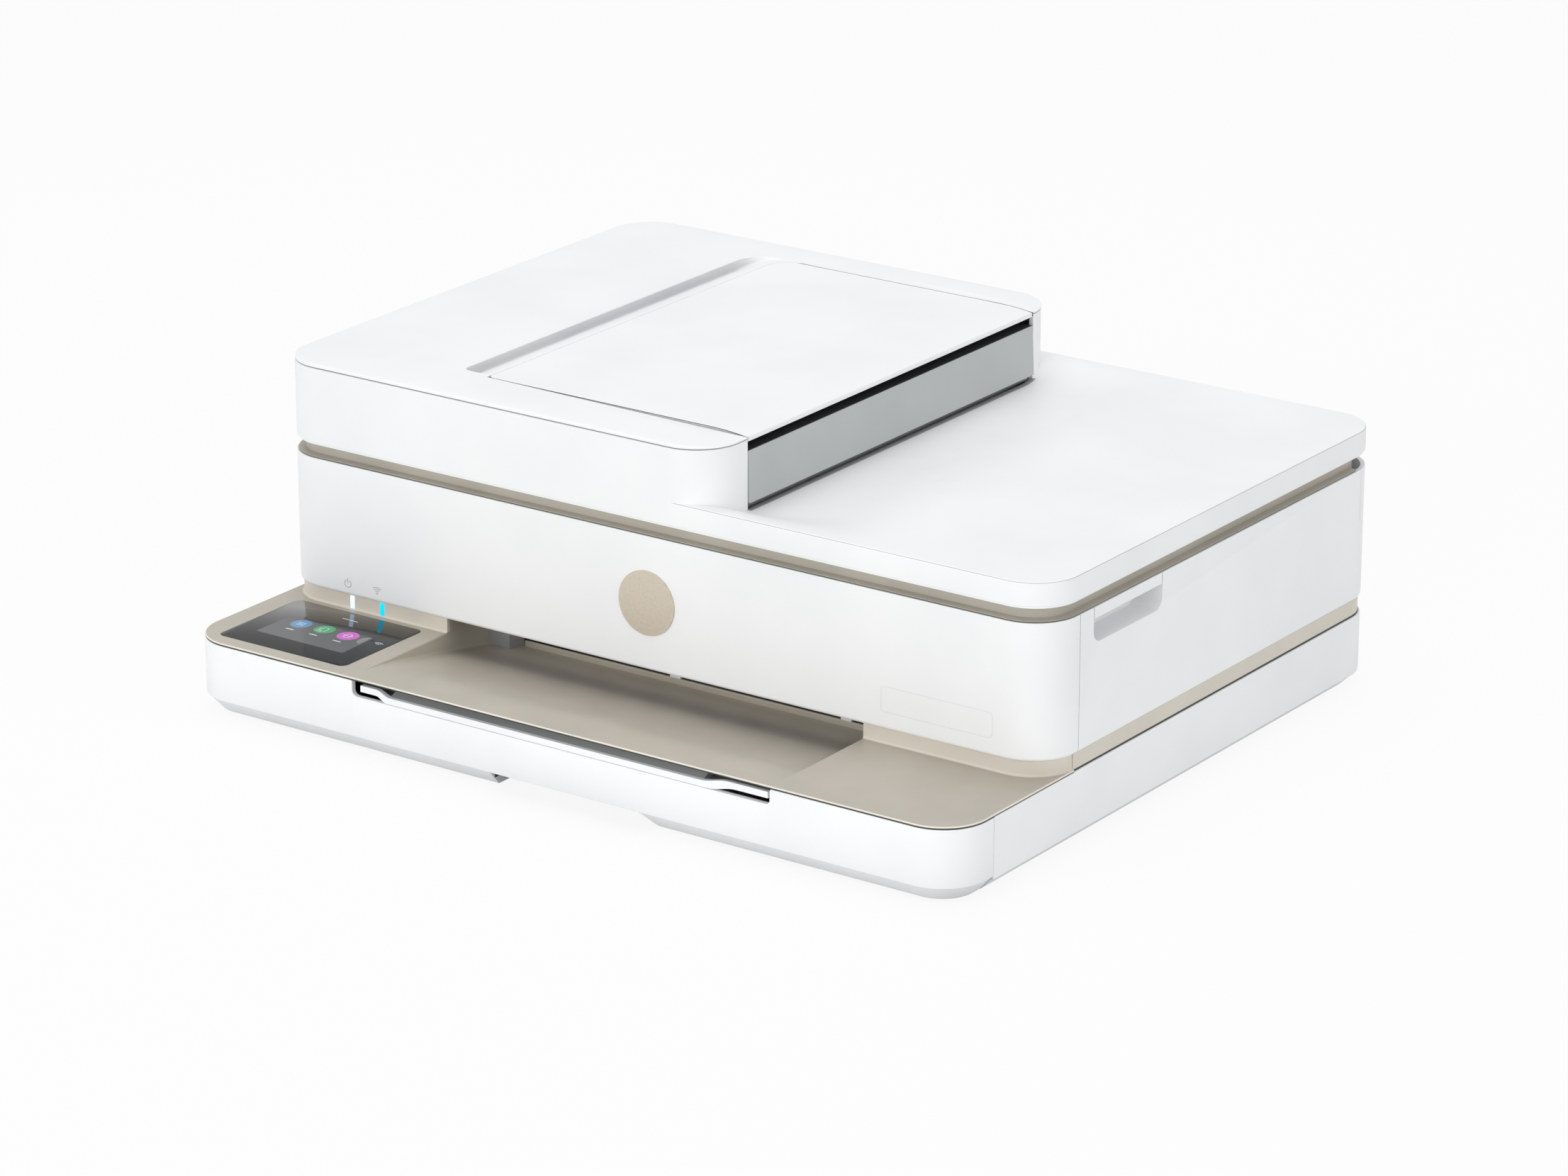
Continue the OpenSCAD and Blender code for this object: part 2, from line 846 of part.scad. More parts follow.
module output_shaft() {
    color("darkgray") {
        roller_shaft(output_y, engine_z, shaft_r, roller_r, gear_x, right_plate_x + plate_t + 2, 8);
        gear(gear_x, gear_w, output_y, engine_z, teeth_output, 0, shaft_r - eps);
    }
}

// Idler between the two shafts, on a pin of its own in the left plate
module transfer_gear() {
    color("ivory") {
        gear(gear_x, gear_w, transfer_y, engine_z, teeth_transfer, 180 / teeth_transfer, 1.5 - eps);
        rod_x(gear_x, left_plate_x + plate_t, transfer_y, engine_z, 1.5);
    }
}

module feed_pinion() {
    color("gold")
        gear(gear_x, gear_w, pinion_y, engine_z, teeth_pinion, 180 + 180 / teeth_pinion,
             motor_shaft_r + fit);
}

module feed_motor() {
    color("silver") {
        rod_x(left_plate_x + plate_t, left_plate_x + plate_t + 24, pinion_y, engine_z, 7.8);
        rod_x(gear_x, left_plate_x + plate_t + 1, pinion_y, engine_z, motor_shaft_r);
    }
}

module pinch_rollers() {
    color("black")
        roller_shaft(feed_y, pinch_z, 1.5, pinch_r, left_plate_x + 0.5, right_plate_x + plate_t - 0.5, 6);
}

// Folded steel rail that the carriage rides on, with the idler's pin
module guide_rail() {
    t = 1.5;
    x = width / 2 - 14;
    color("silver")
        difference() {
            union() {
                box(-x, x, rail_y, rail_y + t, band_z, carriage_top + 2);
                box(-x, x, rail_y, rail_y + 14, band_z, band_z + t);
                rod_y(belt_y - 1, rail_y + eps, pulley_x, belt_z, 1.5);
            }
            rod_y(rail_y - 2, rail_y + 4, -pulley_x, belt_z, 3);
        }
}

module carriage_motor() {
    color("silver") {
        rod_y(rail_y + 1.5, rail_y + 26, -pulley_x, belt_z, 12);
        rod_y(belt_y - 1, rail_y + 2, -pulley_x, belt_z, 1.5);
    }
}

// Belt pulley with a flange at each end
module pulley(x) {
    flange_t = 0.8;
    flange_r = pulley_r + 2;
    difference() {
        union() {
            rod_y(belt_y, belt_y + belt_w, x, belt_z, pulley_r);
            for (y = [belt_y - flange_t, belt_y + belt_w])
                rod_y(y, y + flange_t, x, belt_z, flange_r);
        }
        rod_y(belt_y - over, belt_y + belt_w + over, x, belt_z, 1.5 + fit);
    }
}

module drive_pulley() {
    color("gold")
        pulley(-pulley_x);
}

module idler_pulley() {
    color("gold")
        pulley(pulley_x);
}

// Loop outline of the belt at a given distance from the pulleys' centres
module belt_loop(r) {
    for (x = [-pulley_x, pulley_x])
        translate([x, belt_z])
            circle(r);
    translate([-pulley_x, belt_z - r])
        square([2 * pulley_x, 2 * r]);
}

module drive_belt() {
    inner = pulley_r + fit;
    color("black")
        difference() {
            along_y(belt_y + 0.3, belt_y + belt_w - 0.3)
                belt_loop(inner + belt_t);
            along_y(belt_y - over, belt_y + belt_w + over)
                belt_loop(inner);
        }
}

// Carriage: open box for two cartridges, a shoe over the rail and a fork at the belt
step_y = output_y + 29;
step_z = band_z + 9.2;
module carriage() {
    x0 = carriage_x;
    x1 = carriage_x + carriage_w;
    shoe = 1.8;
    belt_low = belt_z - pulley_r - belt_t;
    color("dimgray")
        difference() {
            union() {
                along_x(x0, x1)
                    polygon([[carriage_front, head_z + 4], [carriage_front + 3, head_z],
                             [step_y - 3, head_z], [step_y, step_z], [carriage_back, step_z],
                             [carriage_back, carriage_top], [carriage_front + 22, carriage_top],
                             [carriage_front, carriage_top - 18]]);
                box(x0 + 6, x1 - 6, carriage_back - eps, rail_y + 1.5 + clearance + shoe,
                    carriage_top + 2 + clearance, carriage_top + 2 + clearance + 2);
                box(x0 + 6, x1 - 6, carriage_back - 2, carriage_back, carriage_top - 3,
                    carriage_top + 4.3);
                for (x = [x0 + 10, x1 - 26]) {
                    box(x, x + 16, rail_y - clearance - shoe, rail_y - clearance,
                        carriage_top - 4, carriage_top + 3);
                    box(x, x + 16, rail_y + 1.5 + clearance, rail_y + 1.5 + clearance + shoe,
                        carriage_top - 4, carriage_top + 3);
                }
                box(x0 + 38, x1 - 38, carriage_back - eps, belt_y + belt_w, belt_low - 2.3, belt_low - 0.3);
            }
            for (i = [0, 1])
                box(x0 + 4 + i * 43, x0 + 45 + i * 43, carriage_front + 3, carriage_back - 4,
                    step_z + 2, carriage_top + over);
            for (i = [0, 1])
                box(x0 + 10 + i * 43, x0 + 39 + i * 43, carriage_front + 5, step_y - 5,
                    head_z - over, step_z + 3);
        }
}

// Ink cartridge with its print head reaching down through the carriage
module cartridge(i) {
    x0 = carriage_x + 4.4 + i * 43;
    x1 = carriage_x + 44.6 + i * 43;
    z0 = step_z + 2;
    difference() {
        union() {
            box(x0, x1, carriage_front + 3.4, carriage_back - 4.4, z0, carriage_top - 2);
            box(x0 + 6, x1 - 6, carriage_front + 5.4, step_y - 5.4, head_z + 0.4, z0 + eps);
        }
        along_x(x0 - over, x1 + over)
            polygon([[carriage_front - 1, carriage_top - 21], [carriage_front + 22, carriage_top + 2],
                     [carriage_front - 1, carriage_top + 2]]);
    }
}

module black_cartridge() {
    color("black")
        cartridge(1);
}

module colour_cartridge() {
    color("midnightblue")
        cartridge(0);
}

// Capping station below the parked carriage
module service_station() {
    x0 = recess_right + floor_t + 1.2;
    x1 = right - 14;
    y1 = feed_y - 7;
    color("slategray") {
        difference() {
            box(x0, x1, bay_front + 1, y1, engine_z - 7, head_z - 4);
            box(x0 + 2, x1 - 2, bay_front + 3, y1 - 2, engine_z - 5, head_z);
        }
        for (i = [0, 1]) {
            x = carriage_x + 24.5 + i * 43;
            difference() {
                box(x - 10, x + 10, carriage_front + 6, step_y - 6, engine_z - 5.5, head_z - 0.8);
                box(x - 8, x + 8, carriage_front + 8, step_y - 8, head_z - 3, head_z);
            }
        }
        for (x = [x0, x1 - 8])
            along_x(x, x + 8)
                polygon([[bay_front - 6, band_z], [bay_front - 6, band_z + 2],
                         [bay_front + 3, band_z + 2], [bay_front + 3, head_z - 4 - eps],
                         [bay_front + 1, head_z - 4 - eps], [bay_front + 1, engine_z - 2],
                         [bay_front - clearance + 0.8, engine_z - 2],
                         [bay_front - clearance + 0.8, band_z]]);
    }
}

// Swinging arm that lowers the pick roller onto the paper
module pick_arm() {
    axle_y = pick_y + pick_reach;
    color("gray") {
        difference() {
            union() {
                for (s = [-1, 1])
                    along_x(s * 12.5 - 1.5, s * 12.5 + 1.5) {
                        translate([pick_y, pick_z])
                            circle(5.5);
                        translate([axle_y, pick_roller_z])
                            circle(4.5);
                        polygon([[pick_y - 2.6, pick_z - 4.6], [axle_y - 2, pick_roller_z - 4],
                                 [axle_y + 2.3, pick_roller_z + 3.8], [pick_y + 2.6, pick_z + 4.6]]);
                    }
                box(-14, 14, pick_y + 10, pick_y + 13, pick_z - 9, pick_z - 4);
            }
            rod_x(-20, 20, axle_y, pick_roller_z, 2 + fit);
        }
        rod_x(-39, 39, pick_y, pick_z, 3);
    }
}

module pick_roller() {
    axle_y = pick_y + pick_reach;
    color("black") {
        rod_x(-10.5, 10.5, axle_y, pick_roller_z, pick_r);
        rod_x(-14, 14, axle_y, pick_roller_z, 2);
    }
}

module power_supply() {
    color("dimgray")
        translate([0, 0, band_z])
            linear_extrude(32)
                round_rect(left + 12, back - 120, left + 92, back - 24, 3);
}

// Main board on its posts, with the USB socket at the rear panel
module main_board() {
    z = band_z + 4;
    color("green") {
        box(right - 96, right - 8, back - 131, back - 18, z, z + 1.6);
        box(right - 80, right - 50, back - 100, back - 70, z + 1.6 - eps, z + 4);
        difference() {
            box(usb_x - 6, usb_x + 6, back - 22, back - 0.3, z + 1.6 - eps, z + 13);
            box(usb_x - 4.2, usb_x + 4.2, back - 12, back + over, z + 4, z + 11.5);
        }
    }
}

// ---- scanner unit ----

// Outline of the scanner unit, short of the body's rear wall
module bed_outline(z0, z1, grow) {
    translate([0, 0, z0])
        linear_extrude(z1 - z0)
            round_rect(left + bed_inset - grow, body_front + bed_inset - grow,
                       right - bed_inset + grow, bed_back + grow, corner_r - bed_inset);
}

// Lower housing with the bay of the scan bar, the side tabs and the hinge knuckles
module scanner_base() {
    notch_half = hinge_half + 2.5;
    tab_gap = 0.6;
    rail_half = cavity_half + 2;
    color("gray") {
        difference() {
            union() {
                bed_outline(bed_z0, bezel_z0, 0);
                for (s = [-1, 1])
                    box(min(s * (right - 10), s * right), max(s * (right - 10), s * right),
                        grip_y0 + tab_gap, grip_y1 - tab_gap, grip_z1, rim_z);
            }
            box(-cavity_half, cavity_half, body_front + 9, bed_back - 12, bed_z0 + 2, bezel_z0 + over);
            for (s = [-1, 1]) {
                box(s * (right - grip_depth / 2 - 3) - grip_depth / 2 - 2,
                    s * (right - grip_depth / 2 - 3) + grip_depth / 2 + 4,
                    grip_y0 - 4, grip_y1 + 4, bed_z0 - over, grip_z1);
                box(s * hinge_x - notch_half, s * hinge_x + notch_half, hinge_y - 10, back,
                    bed_z0 - over, bezel_z0 + over);
            }
        }
        for (s = [-1, 1], t = [-1, 1])
            along_x(s * hinge_x + t * hinge_half - 2.6, s * hinge_x + t * hinge_half + 2.6) {
                translate([hinge_y, hinge_z])
                    circle(3.4);
                polygon([[hinge_y - 12, hinge_z - 3.4], [hinge_y, hinge_z - 3.4],
                         [hinge_y, hinge_z + 3.4], [hinge_y - 12, hinge_z + 3.4]]);
            }
        for (s = [-1, 1])
            rod_x(s * hinge_x - hinge_half, s * hinge_x + hinge_half, hinge_y, hinge_z, hinge_pin_r);
        rod_x(-rail_half, rail_half, window_y0 + window_w / 2, bed_z0 + 5.5, scan_rail_r);
    }
}

// Beige frame round the glass, with the arms of the lid's hinges
module scanner_bezel() {
    color("tan")
        difference() {
            union() {
                bed_outline(bezel_z0, bezel_z1, 0);
                for (s = [-1, 1])
                    along_x(s * lid_hinge_x - 5, s * lid_hinge_x + 5) {
                        translate([lid_hinge_y, lid_hinge_z])
                            circle(2.5);
                        polygon([[bed_back - 2, bezel_z0 + 0.8], [lid_hinge_y, lid_hinge_z - 2.5],
                                 [lid_hinge_y, lid_hinge_z + 2.5], [bed_back - 2, bezel_z1]]);
                    }
            }
            box(-cavity_half, cavity_half, body_front + 9, bed_back - 12, bezel_z0 - over, glass_z);
            translate([0, 0, glass_z - over])
                linear_extrude(10)
                    round_rect(window_x0, window_y0, window_x0 + window_len, window_y0 + window_w, 3);
            for (s = [-1, 1])
                rod_x(s * lid_hinge_x - 6, s * lid_hinge_x + 6, lid_hinge_y, lid_hinge_z, lid_pin_r + fit);
        }
}

module scan_glass() {
    color("lightblue")
        box(window_x0 - 3.5, window_x0 + window_len + 6, window_y0 - 6, window_y0 + window_w + 6,
            glass_z - glass_t, glass_z);
}

// Sensor bar on its carrier, sliding on the rail under the glass
module scan_bar() {
    x0 = window_x0 + 4;
    rail = window_y0 + window_w / 2;
    z0 = bed_z0 + 2.5;
    color("black")
        difference() {
            union() {
                box(x0, x0 + scan_bar_w, window_y0 - 2, window_y0 + window_w + 2,
                    z0 + 6, glass_z - glass_t - 0.8);
                box(x0 - 2, x0 + scan_bar_w + 4, rail - 16, rail + 16, z0, z0 + 7);
            }
            rod_x(left, right, rail, bed_z0 + 5.5, scan_rail_r + fit);
        }
}

// ---- lid and document feeder ----

// Tool that sinks the smooth dish into the lid, right of the feeder
dish_nx = 12;
dish_ny = 20;
module dish_cutter() {
    x0 = feeder_right - 8;
    x1 = right - 100;
    y0 = body_front + 3;
    y1 = back - 3;
    blend = 27;
    lift = 0.3;
    function px(i) = x0 + (x1 - x0) * i / dish_nx;
    function py(j) = let (t = j / dish_ny, s = t - 0.55 * sin(360 * t) / 6.2832)
        y0 + (y1 - y0) * s;
    function pz(x, y) = lid_top + lift - (dish_depth + lift)
        * (1 - rise(x, feeder_right + 1, x1)) * rise(y, y0, y0 + blend) * (1 - rise(y, y1 - blend, y1));
    bottom = [for (i = [0:dish_nx], j = [0:dish_ny]) [px(i), py(j), pz(px(i), py(j))]];
    top = [for (i = [0:dish_nx], j = [0:dish_ny]) [px(i), py(j), lid_top + 3]];
    row = dish_ny + 1;
    n = row * (dish_nx + 1);
    quads = [for (i = [0:dish_nx - 1], j = [0:dish_ny - 1])
        [i * row + j, (i + 1) * row + j, (i + 1) * row + j + 1, i * row + j + 1]];
    low = [for (q = quads, f = [[q[0], q[1], q[2]], [q[0], q[2], q[3]]]) f];
    high = [for (f = low) [n + f[2], n + f[1], n + f[0]]];
    edge_y = [for (i = [0:dish_nx - 1], e = [0, 1])
        let (a = i * row + e * dish_ny, b = a + row)
            e == 0 ? [a, n + a, n + b, b] : [b, n + b, n + a, a]];
    edge_x = [for (j = [0:dish_ny - 1], e = [0, 1])
        let (a = e * dish_nx * row + j, b = a + 1)
            e == 0 ? [b, n + b, n + a, a] : [a, n + a, n + b, b]];
    polyhedron(points = concat(bottom, top), faces = concat(low, high, edge_y, edge_x));
}

// Outline of the feeder
module feeder_outline(inset) {
    round_rect(left + inset, body_front + inset, feeder_right - inset, back - inset, corner_r - inset);
}

// Lid with the feeder's walls in one piece
module lid_shell() {
    boss_r = 5;
    slot_x = adf_feed_x - 8;
    color("white")
        difference() {
            union() {
                difference() {
                    union() {
                        difference() {
                            footprint(body_front, 0, lid_z, lid_top);
                            dish_cutter();
                        }
                        translate([0, 0, lid_z + 1])
                            linear_extrude(feeder_top - lid_z - 1)
                                feeder_outline(0);
                    }
                    translate([0, 0, feeder_floor])
                        linear_extrude(feeder_h)
                            feeder_outline(wall);
                    box(feeder_right - wall - 0.5, feeder_right + 3, flap_y0, flap_y1,
                        feeder_floor, feeder_top + over);
                }
                for (p = [[adf_feed_x, adf_feed_z], [adf_pick_x, adf_pick_z]]) {
                    rod_y(body_front + 1, body_front + wall + 4, p[0], p[1], boss_r);
                    rod_y(back - wall - 4, back - 1, p[0], p[1], boss_r);
                }
            }
            for (p = [[adf_feed_x, adf_feed_z], [adf_pick_x, adf_pick_z]])
                rod_y(body_front + wall + 0.5, back - wall - 0.5, p[0], p[1], shaft_r + fit);
            box(slot_x, slot_x + 16, window_y0 + 4, window_y0 + window_w - 4, lid_z - over,
                feeder_floor + over);
        }
}

// Knuckles and pins under the lid's rear edge
module lid_hinges() {
    color("dimgray")
        for (s = [-1, 1]) {
            rod_x(s * lid_hinge_x - 10.5, s * lid_hinge_x + 10.5, lid_hinge_y, lid_hinge_z, lid_pin_r);
            for (t = [-1, 1])
                along_x(s * lid_hinge_x + t * 8 - 2.5, s * lid_hinge_x + t * 8 + 2.5) {
                    translate([lid_hinge_y, lid_hinge_z])
                        circle(2.4);
                    polygon([[lid_hinge_y - 2.4, lid_hinge_z], [lid_hinge_y + 2.4, lid_hinge_z],
                             [lid_hinge_y + 2.4, lid_z], [lid_hinge_y - 6, lid_z]]);
                }
        }
}

module backing_pad() {
    color("white")
        box(window_x0 + 30, window_x0 + window_len - 6, window_y0 + 5, window_y0 + window_w - 5,
            glass_z + clearance, lid_z);
}

// Top cover of the feeder with the flap's opening and the finger groove
module adf_cover() {
    groove_z = cover_top - 6.5;
    skin = 1.5;
    color("white")
        difference() {
            union() {
                difference() {
                    union() {
                        translate([0, 0, feeder_top + 0.4])
                            linear_extrude(cover_h - 0.4)
                                feeder_outline(0);
                        translate([0, 0, feeder_top])
                            linear_extrude(cover_h)
                                feeder_outline(0.9);
                    }
                    box(flap_x0 - 0.4, feeder_right + over, flap_y0, flap_y1, 0, cover_top + over);
                    box(groove_x, flap_x0, flap_y0 + 3, flap_y1 - 4, 0, cover_top + over);
                }
                along_y(flap_y0 + 1, flap_y1 - 2)
                    polygon([[groove_x - skin, cover_top - 0.5], [groove_x - skin, groove_z - skin],
                             [groove_x + 2, groove_z - skin], [flap_x0 - 0.4, feeder_top - 0.6],
                             [flap_x0 - 0.4, cover_top - 1.2], [groove_x, cover_top - 0.5]]);
                for (y = [flap_y0 - 4, flap_y1 + 0.4])
                    box(flap_axis_x - 2.7, flap_axis_x + 2.2, y, y + 3.6, flap_axis_z - 2.7,
                        feeder_top + 1);
            }
            along_y(flap_y0 + 3, flap_y1 - 4)
                polygon([[groove_x, cover_top + over], [groove_x, groove_z + 1],
                         [groove_x + 2, groove_z], [flap_x0 + over, cover_top - 1.6],
                         [flap_x0 + over, cover_top + over]]);
            rod_y(flap_y0 - 5, flap_y0 + over, flap_axis_x, flap_axis_z, flap_pin_r + fit);
            rod_y(flap_y1 - over, flap_y1 + 5, flap_axis_x, flap_axis_z, flap_pin_r + fit);
        }
}

// Flap over the document bed, hinged at its right edge
module adf_flap() {
    x1 = feeder_right - 1;
    color("white") {
        along_y(flap_y0 + 0.4, flap_y1 - 0.4)
            polygon([[flap_x0, cover_top - 0.2], [flap_x0 + 2, cover_top], [x1 - 20, cover_top],
                     [x1 - 12, cover_top - 0.2], [x1 - 6, cover_top - 0.7], [x1 - 2, cover_top - 1.3],
                     [x1, cover_top - 2.1], [x1, cover_top - 3.6], [x1 - 1, cover_top - 4.2],
                     [x1 - 7, cover_top - 4.2], [x1 - 10, cover_top - 2.8],
                     [flap_x0 + 4, cover_top - 2.8], [flap_x0, cover_top - 1.4]]);
        rod_y(flap_y0 - 3, flap_y1 + 3, flap_axis_x, flap_axis_z, flap_pin_r);
    }
}

// Height of the document bed at a given place
function doc_z(x) = bed_top - (feeder_right - x) * bed_slope;

// Sloping document bed with the light wall above the exit
module adf_bed() {
    y0 = flap_y0 + 0.3;
    y1 = flap_y1 - 0.3;
    exit_z = feeder_floor + 2.7;
    t = 2.2;
    color("lightgray") {
        along_y(y0, y1)
            polygon([[feeder_right, bed_top], [bed_x0, doc_z(bed_x0)], [bed_x0, doc_z(bed_x0) - t],
                     [feeder_right - t, bed_top - t - 0.2], [feeder_right - t + 1, exit_z],
                     [feeder_right + 1, exit_z]]);
        for (y = [y0, y1 - t])
            along_y(y, y + t)
                polygon([[feeder_right - t - 0.6, bed_top - 1], [bed_x0 + 20, doc_z(bed_x0 + 20) - 1],
                         [bed_x0 + 20, feeder_floor], [feeder_right - t - 0.6, feeder_floor]]);
    }
}

// Document guide: an upright plate that follows the bed's slope
module doc_guide(y, s) {
    x0 = feeder_right - 95;
    x1 = feeder_right - 15;
    color("gray") {
        along_y(min(y, y + s * 2.5), max(y, y + s * 2.5))
            polygon([[x0, doc_z(x0) + clearance], [x1, doc_z(x1) + clearance],
                     [x1, feeder_top - 3.4], [x0, feeder_top - 3.4]]);
        along_y(min(y, y - s * 14), max(y, y - s * 14))
            polygon([[x0 + 20, doc_z(x0 + 20) + clearance], [x1 - 20, doc_z(x1 - 20) + clearance],
                     [x1 - 20, doc_z(x1 - 20) + 1.5], [x0 + 20, doc_z(x0 + 20) + 1.5]]);
    }
}

module front_adf_guide() {
    doc_guide((flap_y0 + flap_y1) / 2 - paper_half, -1);
}

module rear_adf_guide() {
    doc_guide((flap_y0 + flap_y1) / 2 + paper_half, 1);
}

// Feeder shaft between the bosses of the front and rear walls
module adf_shaft(x, z, r, roller_w) {
    middle = (body_front + back) / 2;
    rod_y(body_front + wall + 0.8, back - wall - 0.8, x, z, shaft_r);
    rod_y(middle - roller_w / 2, middle + roller_w / 2, x, z, r);
}

module adf_pick_shaft() {
    color("dimgray")
        adf_shaft(adf_pick_x, adf_pick_z, adf_pick_r, 44);
}

module adf_feed_shaft() {
    color("dimgray")
        adf_shaft(adf_feed_x, adf_feed_z, adf_feed_r, 210);
}

feet();
base_pan();
base_shell();
output_deck();
slot_guard();
mid_frame();
front_fascia();
left_panel();
right_panel();
rear_panel();
hinge_cover();
badge_disc();
display_glass();
light_bars();
guide_rail();
carriage_motor();
drive_belt();
platen_frame();
feed_motor();
service_station();
power_supply();
main_board();
power_inlet();
carriage();
black_cartridge();
colour_cartridge();
drive_pulley();
idler_pulley();
feed_shaft();
feed_gear();
output_shaft();
transfer_gear();
feed_pinion();
pinch_rollers();
pick_arm();
pick_roller();
rear_door();
power_button();
wireless_button();
tray_front();
tray_corners();
paper_tray();
left_tray_guide();
right_tray_guide();
length_guide();
output_extender();
scanner_base();
scanner_bezel();
scan_glass();
scan_bar();
lid_shell();
lid_hinges();
backing_pad();
adf_cover();
adf_flap();
adf_bed();
front_adf_guide();
rear_adf_guide();
adf_pick_shaft();
adf_feed_shaft();
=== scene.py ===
import bpy
import bmesh
import json
import math
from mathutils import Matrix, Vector
from mathutils.geometry import delaunay_2d_cdt


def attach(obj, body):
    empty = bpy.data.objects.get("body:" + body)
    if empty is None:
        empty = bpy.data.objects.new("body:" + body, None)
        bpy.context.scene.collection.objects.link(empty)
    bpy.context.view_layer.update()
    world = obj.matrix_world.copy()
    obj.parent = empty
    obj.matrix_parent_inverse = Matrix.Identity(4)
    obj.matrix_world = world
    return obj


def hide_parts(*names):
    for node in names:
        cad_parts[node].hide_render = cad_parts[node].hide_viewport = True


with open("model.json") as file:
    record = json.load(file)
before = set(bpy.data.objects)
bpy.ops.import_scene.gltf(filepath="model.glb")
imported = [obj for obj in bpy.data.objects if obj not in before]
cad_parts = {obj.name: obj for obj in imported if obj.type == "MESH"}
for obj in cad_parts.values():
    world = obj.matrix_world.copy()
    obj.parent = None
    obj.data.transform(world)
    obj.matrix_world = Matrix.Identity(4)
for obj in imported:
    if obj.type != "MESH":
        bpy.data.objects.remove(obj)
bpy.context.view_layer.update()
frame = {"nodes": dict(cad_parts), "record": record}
print("frame loaded:", len(frame["nodes"]), "nodes")

mm = 0.001

# Outline and levels of the printer, in millimetres
shell = {
    "left": -216.0, "right": 216.0, "front": -179.5, "back": 179.5, "bodyFront": -109.0,
    "corner": 22.5, "deckTop": 37.7, "bandTop": 44.8, "rimTop": 109.3,
    "lidBottom": 115.9, "lidTop": 128.2, "feederTop": 153.6, "coverTop": 156.3,
    "feederRight": 35.0, "flapFront": -79.3, "flapRear": 156.7, "wall": 2.2,
}


def linear(value):
    value = value / 255
    return value / 12.92 if value <= 0.04045 else ((value + 0.055) / 1.055) ** 2.4


def tone(r, g, b):
    # scene colour for 0 to 255 values
    return (linear(r), linear(g), linear(b), 1.0)


def newShader(name):
    # material, its node tree and its shader node
    material = bpy.data.materials.new(name)
    material.use_nodes = True
    tree = material.node_tree
    return material, tree, tree.nodes["Principled BSDF"]


def addNode(tree, kind, **inputs):
    node = tree.nodes.new(kind)
    for key, value in inputs.items():
        node.inputs[key].default_value = value
    return node


def feed(node, socketName, output):
    # link an output into one of the node's inputs
    node.id_data.links.new(output, node.inputs[socketName])


def objectCoords(tree, scale=(1, 1, 1)):
    coords = tree.nodes.new("ShaderNodeTexCoord")
    mapping = tree.nodes.new("ShaderNodeMapping")
    mapping.inputs["Scale"].default_value = scale
    feed(mapping, "Vector", coords.outputs["Object"])
    return mapping.outputs["Vector"]


def noise(tree, vector, scale, detail=2.0, rough=0.5):
    node = addNode(tree, "ShaderNodeTexNoise", Scale=scale, Detail=detail, Roughness=rough)
    feed(node, "Vector", vector)
    return node.outputs["Fac"]


def mixColours(tree, factor, first, second, low=0.35, high=0.65):
    # two colours that follow a factor between low and high
    ramp = tree.nodes.new("ShaderNodeValToRGB")
    ramp.color_ramp.elements[0].position, ramp.color_ramp.elements[0].color = low, first
    ramp.color_ramp.elements[1].position, ramp.color_ramp.elements[1].color = high, second
    feed(ramp, "Fac", factor)
    return ramp.outputs["Color"]


def spread(tree, factor, low, high):
    node = addNode(tree, "ShaderNodeMapRange")
    node.inputs["To Min"].default_value, node.inputs["To Max"].default_value = low, high
    feed(node, "Value", factor)
    return node.outputs["Result"]


def calculate(tree, operation, first, second):
    # math node; each of the two values is a number or another node's output
    node = tree.nodes.new("ShaderNodeMath")
    node.operation = operation
    for socket, value in zip(node.inputs, (first, second)):
        if isinstance(value, float):
            socket.default_value = value
        else:
            tree.links.new(value, socket)
    return node.outputs[0]


def bumpFrom(tree, shader, height, strength, distance):
    bump = addNode(tree, "ShaderNodeBump", Strength=strength, Distance=distance * mm)
    feed(bump, "Height", height)
    feed(shader, "Normal", bump.outputs["Normal"])


def moulded(name, light, dark, roughness, grain=1500, depth=0.05, strength=0.25, cloud=14):
    # moulded plastic: soft colour clouds, spark-eroded grain, roughness that follows the grain
    material, tree, shader = newShader(name)
    vector = objectCoords(tree)
    clouds = noise(tree, vector, cloud, 3)
    speck = noise(tree, vector, grain, 2, 0.6)
    feed(shader, "Base Color", mixColours(tree, clouds, tone(*dark), tone(*light)))
    feed(shader, "Roughness", spread(tree, speck, roughness - 0.06, roughness + 0.06))
    bumpFrom(tree, shader, speck, strength, depth)
    return material


def brushed(name, light, dark, roughness, stretch, metallic=1.0, grain=260, strength=0.15):
    # metal or lacquer with fine streaks along one direction
    material, tree, shader = newShader(name)
    streaks = noise(tree, objectCoords(tree, stretch), grain, 4, 0.6)
    feed(shader, "Base Color", mixColours(tree, streaks, tone(*dark), tone(*light)))
    feed(shader, "Roughness", spread(tree, streaks, roughness - 0.07, roughness + 0.08))
    shader.inputs["Metallic"].default_value = metallic
    bumpFrom(tree, shader, streaks, strength, 0.02)
    return material


def clearGlass(name, colour, roughness=0.02):
    # window glass with a faint smear
    material, tree, shader = newShader(name)
    shader.inputs["Transmission Weight"].default_value = 1.0
    shader.inputs["IOR"].default_value = 1.45
    smear = noise(tree, objectCoords(tree), 30, 2)
    feed(shader, "Base Color", mixColours(tree, smear, colour, tone(250, 252, 252)))
    feed(shader, "Roughness", spread(tree, smear, roughness, roughness + 0.03))
    return material


guides = {"splitX": -165.0, "fadeLow": 37.5, "fadeHigh": 44.5, "lowShare": 0.45, "strength": 1.0}


